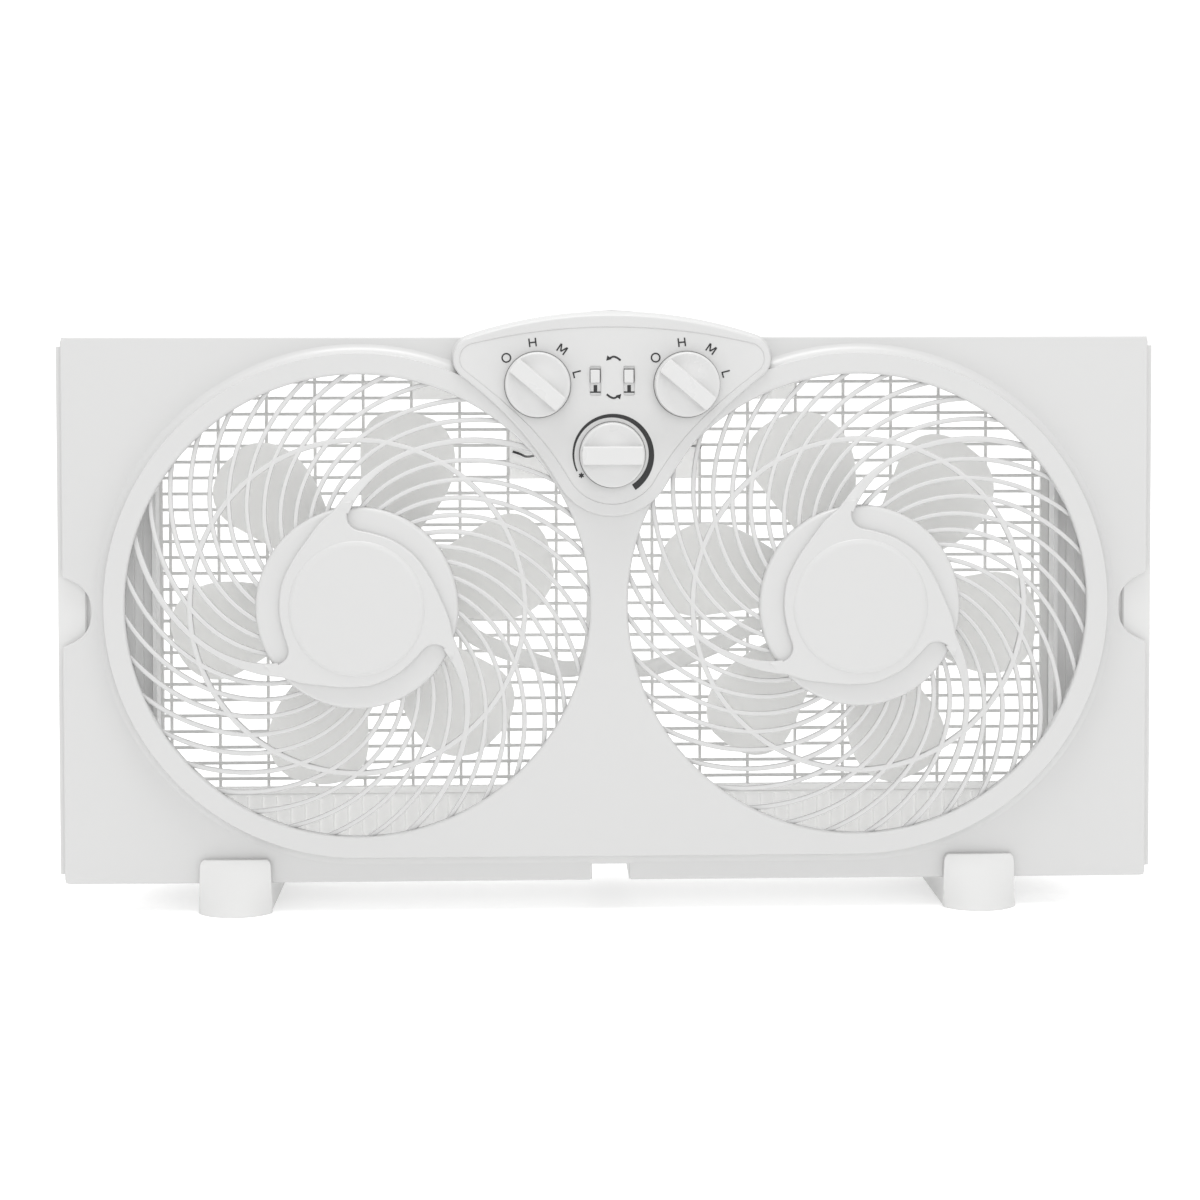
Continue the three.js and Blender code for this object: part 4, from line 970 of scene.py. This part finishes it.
def rear_inside():
    """Thin sheets of pale, glowing colour on the inner faces at the back, painted light that lifts their
    shade, and upright ribs on the wall under the grille in the same glowing colour.
    """
    # painted light: each sheet sits just in front of a face at the back and lifts its shade
    light_sheets = [boxed(-259.0, 259.0, 97.25, 97.4, 2.8, 34.2), boxed(-54.9, 54.9, 95.3, 95.45, 218.1, 264.0),
               boxed(-110.9, 110.9, 95.3, 95.45, 264.1, 281.5), boxed(-259.0, 259.0, 95.3, 95.45, 34.9, 38.6)]
    show(merged("rear_painted_light_sheets", light_sheets, PAINTED_LIGHT_PALE), "frame", "grey_white")
    places = [RIB_PITCH * k for k in range(-30, 31)]
    ribs = [boxed(x - 0.55, x + 0.55, 95.6, 98.0, 4.0, 33.2) for x in places
            if abs(x - CORD_X) > 14 and abs(x - CORD_X - 14) > 8]
    # the ribs take the same glowing colour, which is painted light
    show(bevel(merged("rear_wall_ribs", ribs, PAINTED_LIGHT_PALE), 0.2), "frame", "body_white")


rear_guard()
motor_seats()
wire("left_back_wire", [(-32, 36, 238), (-40, 60, 233), (-45, 86, 231), (-49, 93, 232.3), (-53, 94.2, 233.6)])
wire("right_back_wire", [(36, 36, 240), (46, 60, 238), (53, 86, 237), (56, 93.6, 236.4), (54, 94.2, 233.5)])
rear_inside()

# ------------------------------------------------------------------ what shows as it was packed


def dress(name, obj):
    """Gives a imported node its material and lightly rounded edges."""
    obj.data.materials.clear()
    obj.data.materials.append(REAR_WHITE if name == "rear_shell" else SLOT_MATERIALS[node_slot[name]])
    obj.data.shade_smooth()
    obj.data.set_sharp_from_angle(angle=math.radians(32))
    mod = obj.modifiers.new("edges", "BEVEL")
    mod.width = (0.5 if "leaf" in name or name == "rear_shell" else 0.3) * MM
    mod.segments = 2
    mod.limit_method = "ANGLE"
    mod.angle_limit = math.radians(40)
    mod.use_clamp_overlap = True
    mod = obj.modifiers.new("normals", "WEIGHTED_NORMAL")
    mod.keep_sharp = True


for node_name, node in nodes.items():
    if not node.hide_render:
        dress(node_name, node)

# ------------------------------------------------------------------ room and light, in metres


def floor_sweep():
    """A pale floor that curves up into a wall behind the object."""
    bend, radius, height, half = 1.2, 1.0, 5.0, 6.0
    curve = [(bend + radius * math.sin(a), radius - radius * math.cos(a))
             for a in [math.pi / 2 * i / 16 for i in range(1, 17)]]
    profile = [(-3.0, 0.0), (bend, 0.0)] + curve + [(bend + radius, height)]
    verts = [(x, y, z) for y, z in profile for x in (-half, half)]
    faces = [(2 * i, 2 * i + 1, 2 * i + 3, 2 * i + 2) for i in range(len(profile) - 1)]
    mesh = bpy.data.meshes.new("floor_sweep")
    mesh.from_pydata(verts, [], faces)
    mesh.materials.append(material("floor", (0.80, 0.80, 0.80), 0.8, mottle=0.01, glow=0.36))
    mesh.shade_smooth()
    obj = bpy.data.objects.new("floor_sweep", mesh)
    bpy.context.scene.collection.objects.link(obj)


def light(name, place, aim, size, power):
    """A soft rectangular lamp that looks at a point."""
    data = bpy.data.lights.new(name, "AREA")
    data.shape = "RECTANGLE"
    data.size, data.size_y = size
    data.energy = power
    obj = bpy.data.objects.new(name, data)
    bpy.context.scene.collection.objects.link(obj)
    obj.location = place
    obj.rotation_euler = (Vector(aim) - Vector(place)).to_track_quat("-Z", "Y").to_euler()


def white_world(strength):
    """An even white room."""
    world = bpy.data.worlds.new("room")
    bpy.context.scene.world = world
    world.use_nodes = True
    background = world.node_tree.nodes["Background"]
    background.inputs["Color"].default_value = (1.0, 1.0, 1.0, 1)
    background.inputs["Strength"].default_value = strength


floor_sweep()
light("front", (0.3, -2.6, 1.0), (0, 0, 0.16), (1.8, 1.3), 10)
light("top", (-0.1, -0.35, 1.9), (0, 0, 0.12), (1.1, 0.8), 17)
white_world(0.86)

# ------------------------------------------------------------------ camera, as fitted to the photograph

PICTURE = 1200.0
FOCAL = 2749.0  # in pixels
CENTRE_X, CENTRE_Y = 640.0, 450.0  # the pixel that the camera's axis meets
CAMERA_PLACE = (-41.8, -1500, 299.2)
YAW, PITCH, ROLL = math.radians(-2.25), math.radians(2.33), math.radians(0.07)


def add_camera():
    """The camera: turned left by the yaw, tipped down by the pitch and leaning by the roll."""
    cy, sy, cp, sp, cr, sr = (f(a) for a in (YAW, PITCH, ROLL) for f in (math.cos, math.sin))
    yaw = Matrix(((cy, -sy, 0), (sy, cy, 0), (0, 0, 1)))
    pitch = Matrix(((1, 0, 0), (0, cp, sp), (0, -sp, cp)))
    roll = Matrix(((cr, 0, sr), (0, 1, 0), (-sr, 0, cr)))
    turn = yaw @ pitch @ roll
    right, forward, up = turn.col[0], turn.col[1], turn.col[2]
    data = bpy.data.cameras.new("camera")
    camera = bpy.data.objects.new("camera", data)
    bpy.context.scene.collection.objects.link(camera)
    axes = Matrix(((right.x, up.x, -forward.x), (right.y, up.y, -forward.y), (right.z, up.z, -forward.z)))
    camera.matrix_world = Matrix.Translation(at(*CAMERA_PLACE)) @ axes.to_4x4()
    data.sensor_width = 36.0
    data.lens = 36.0 * FOCAL / PICTURE
    data.shift_x = (PICTURE / 2 - CENTRE_X) / PICTURE
    data.shift_y = (CENTRE_Y - PICTURE / 2) / PICTURE
    data.clip_start = 0.05
    return camera


scene = bpy.context.scene
scene.camera = add_camera()
scene.render.resolution_x = 1200
scene.render.resolution_y = 1200
scene.view_settings.view_transform = "Standard"
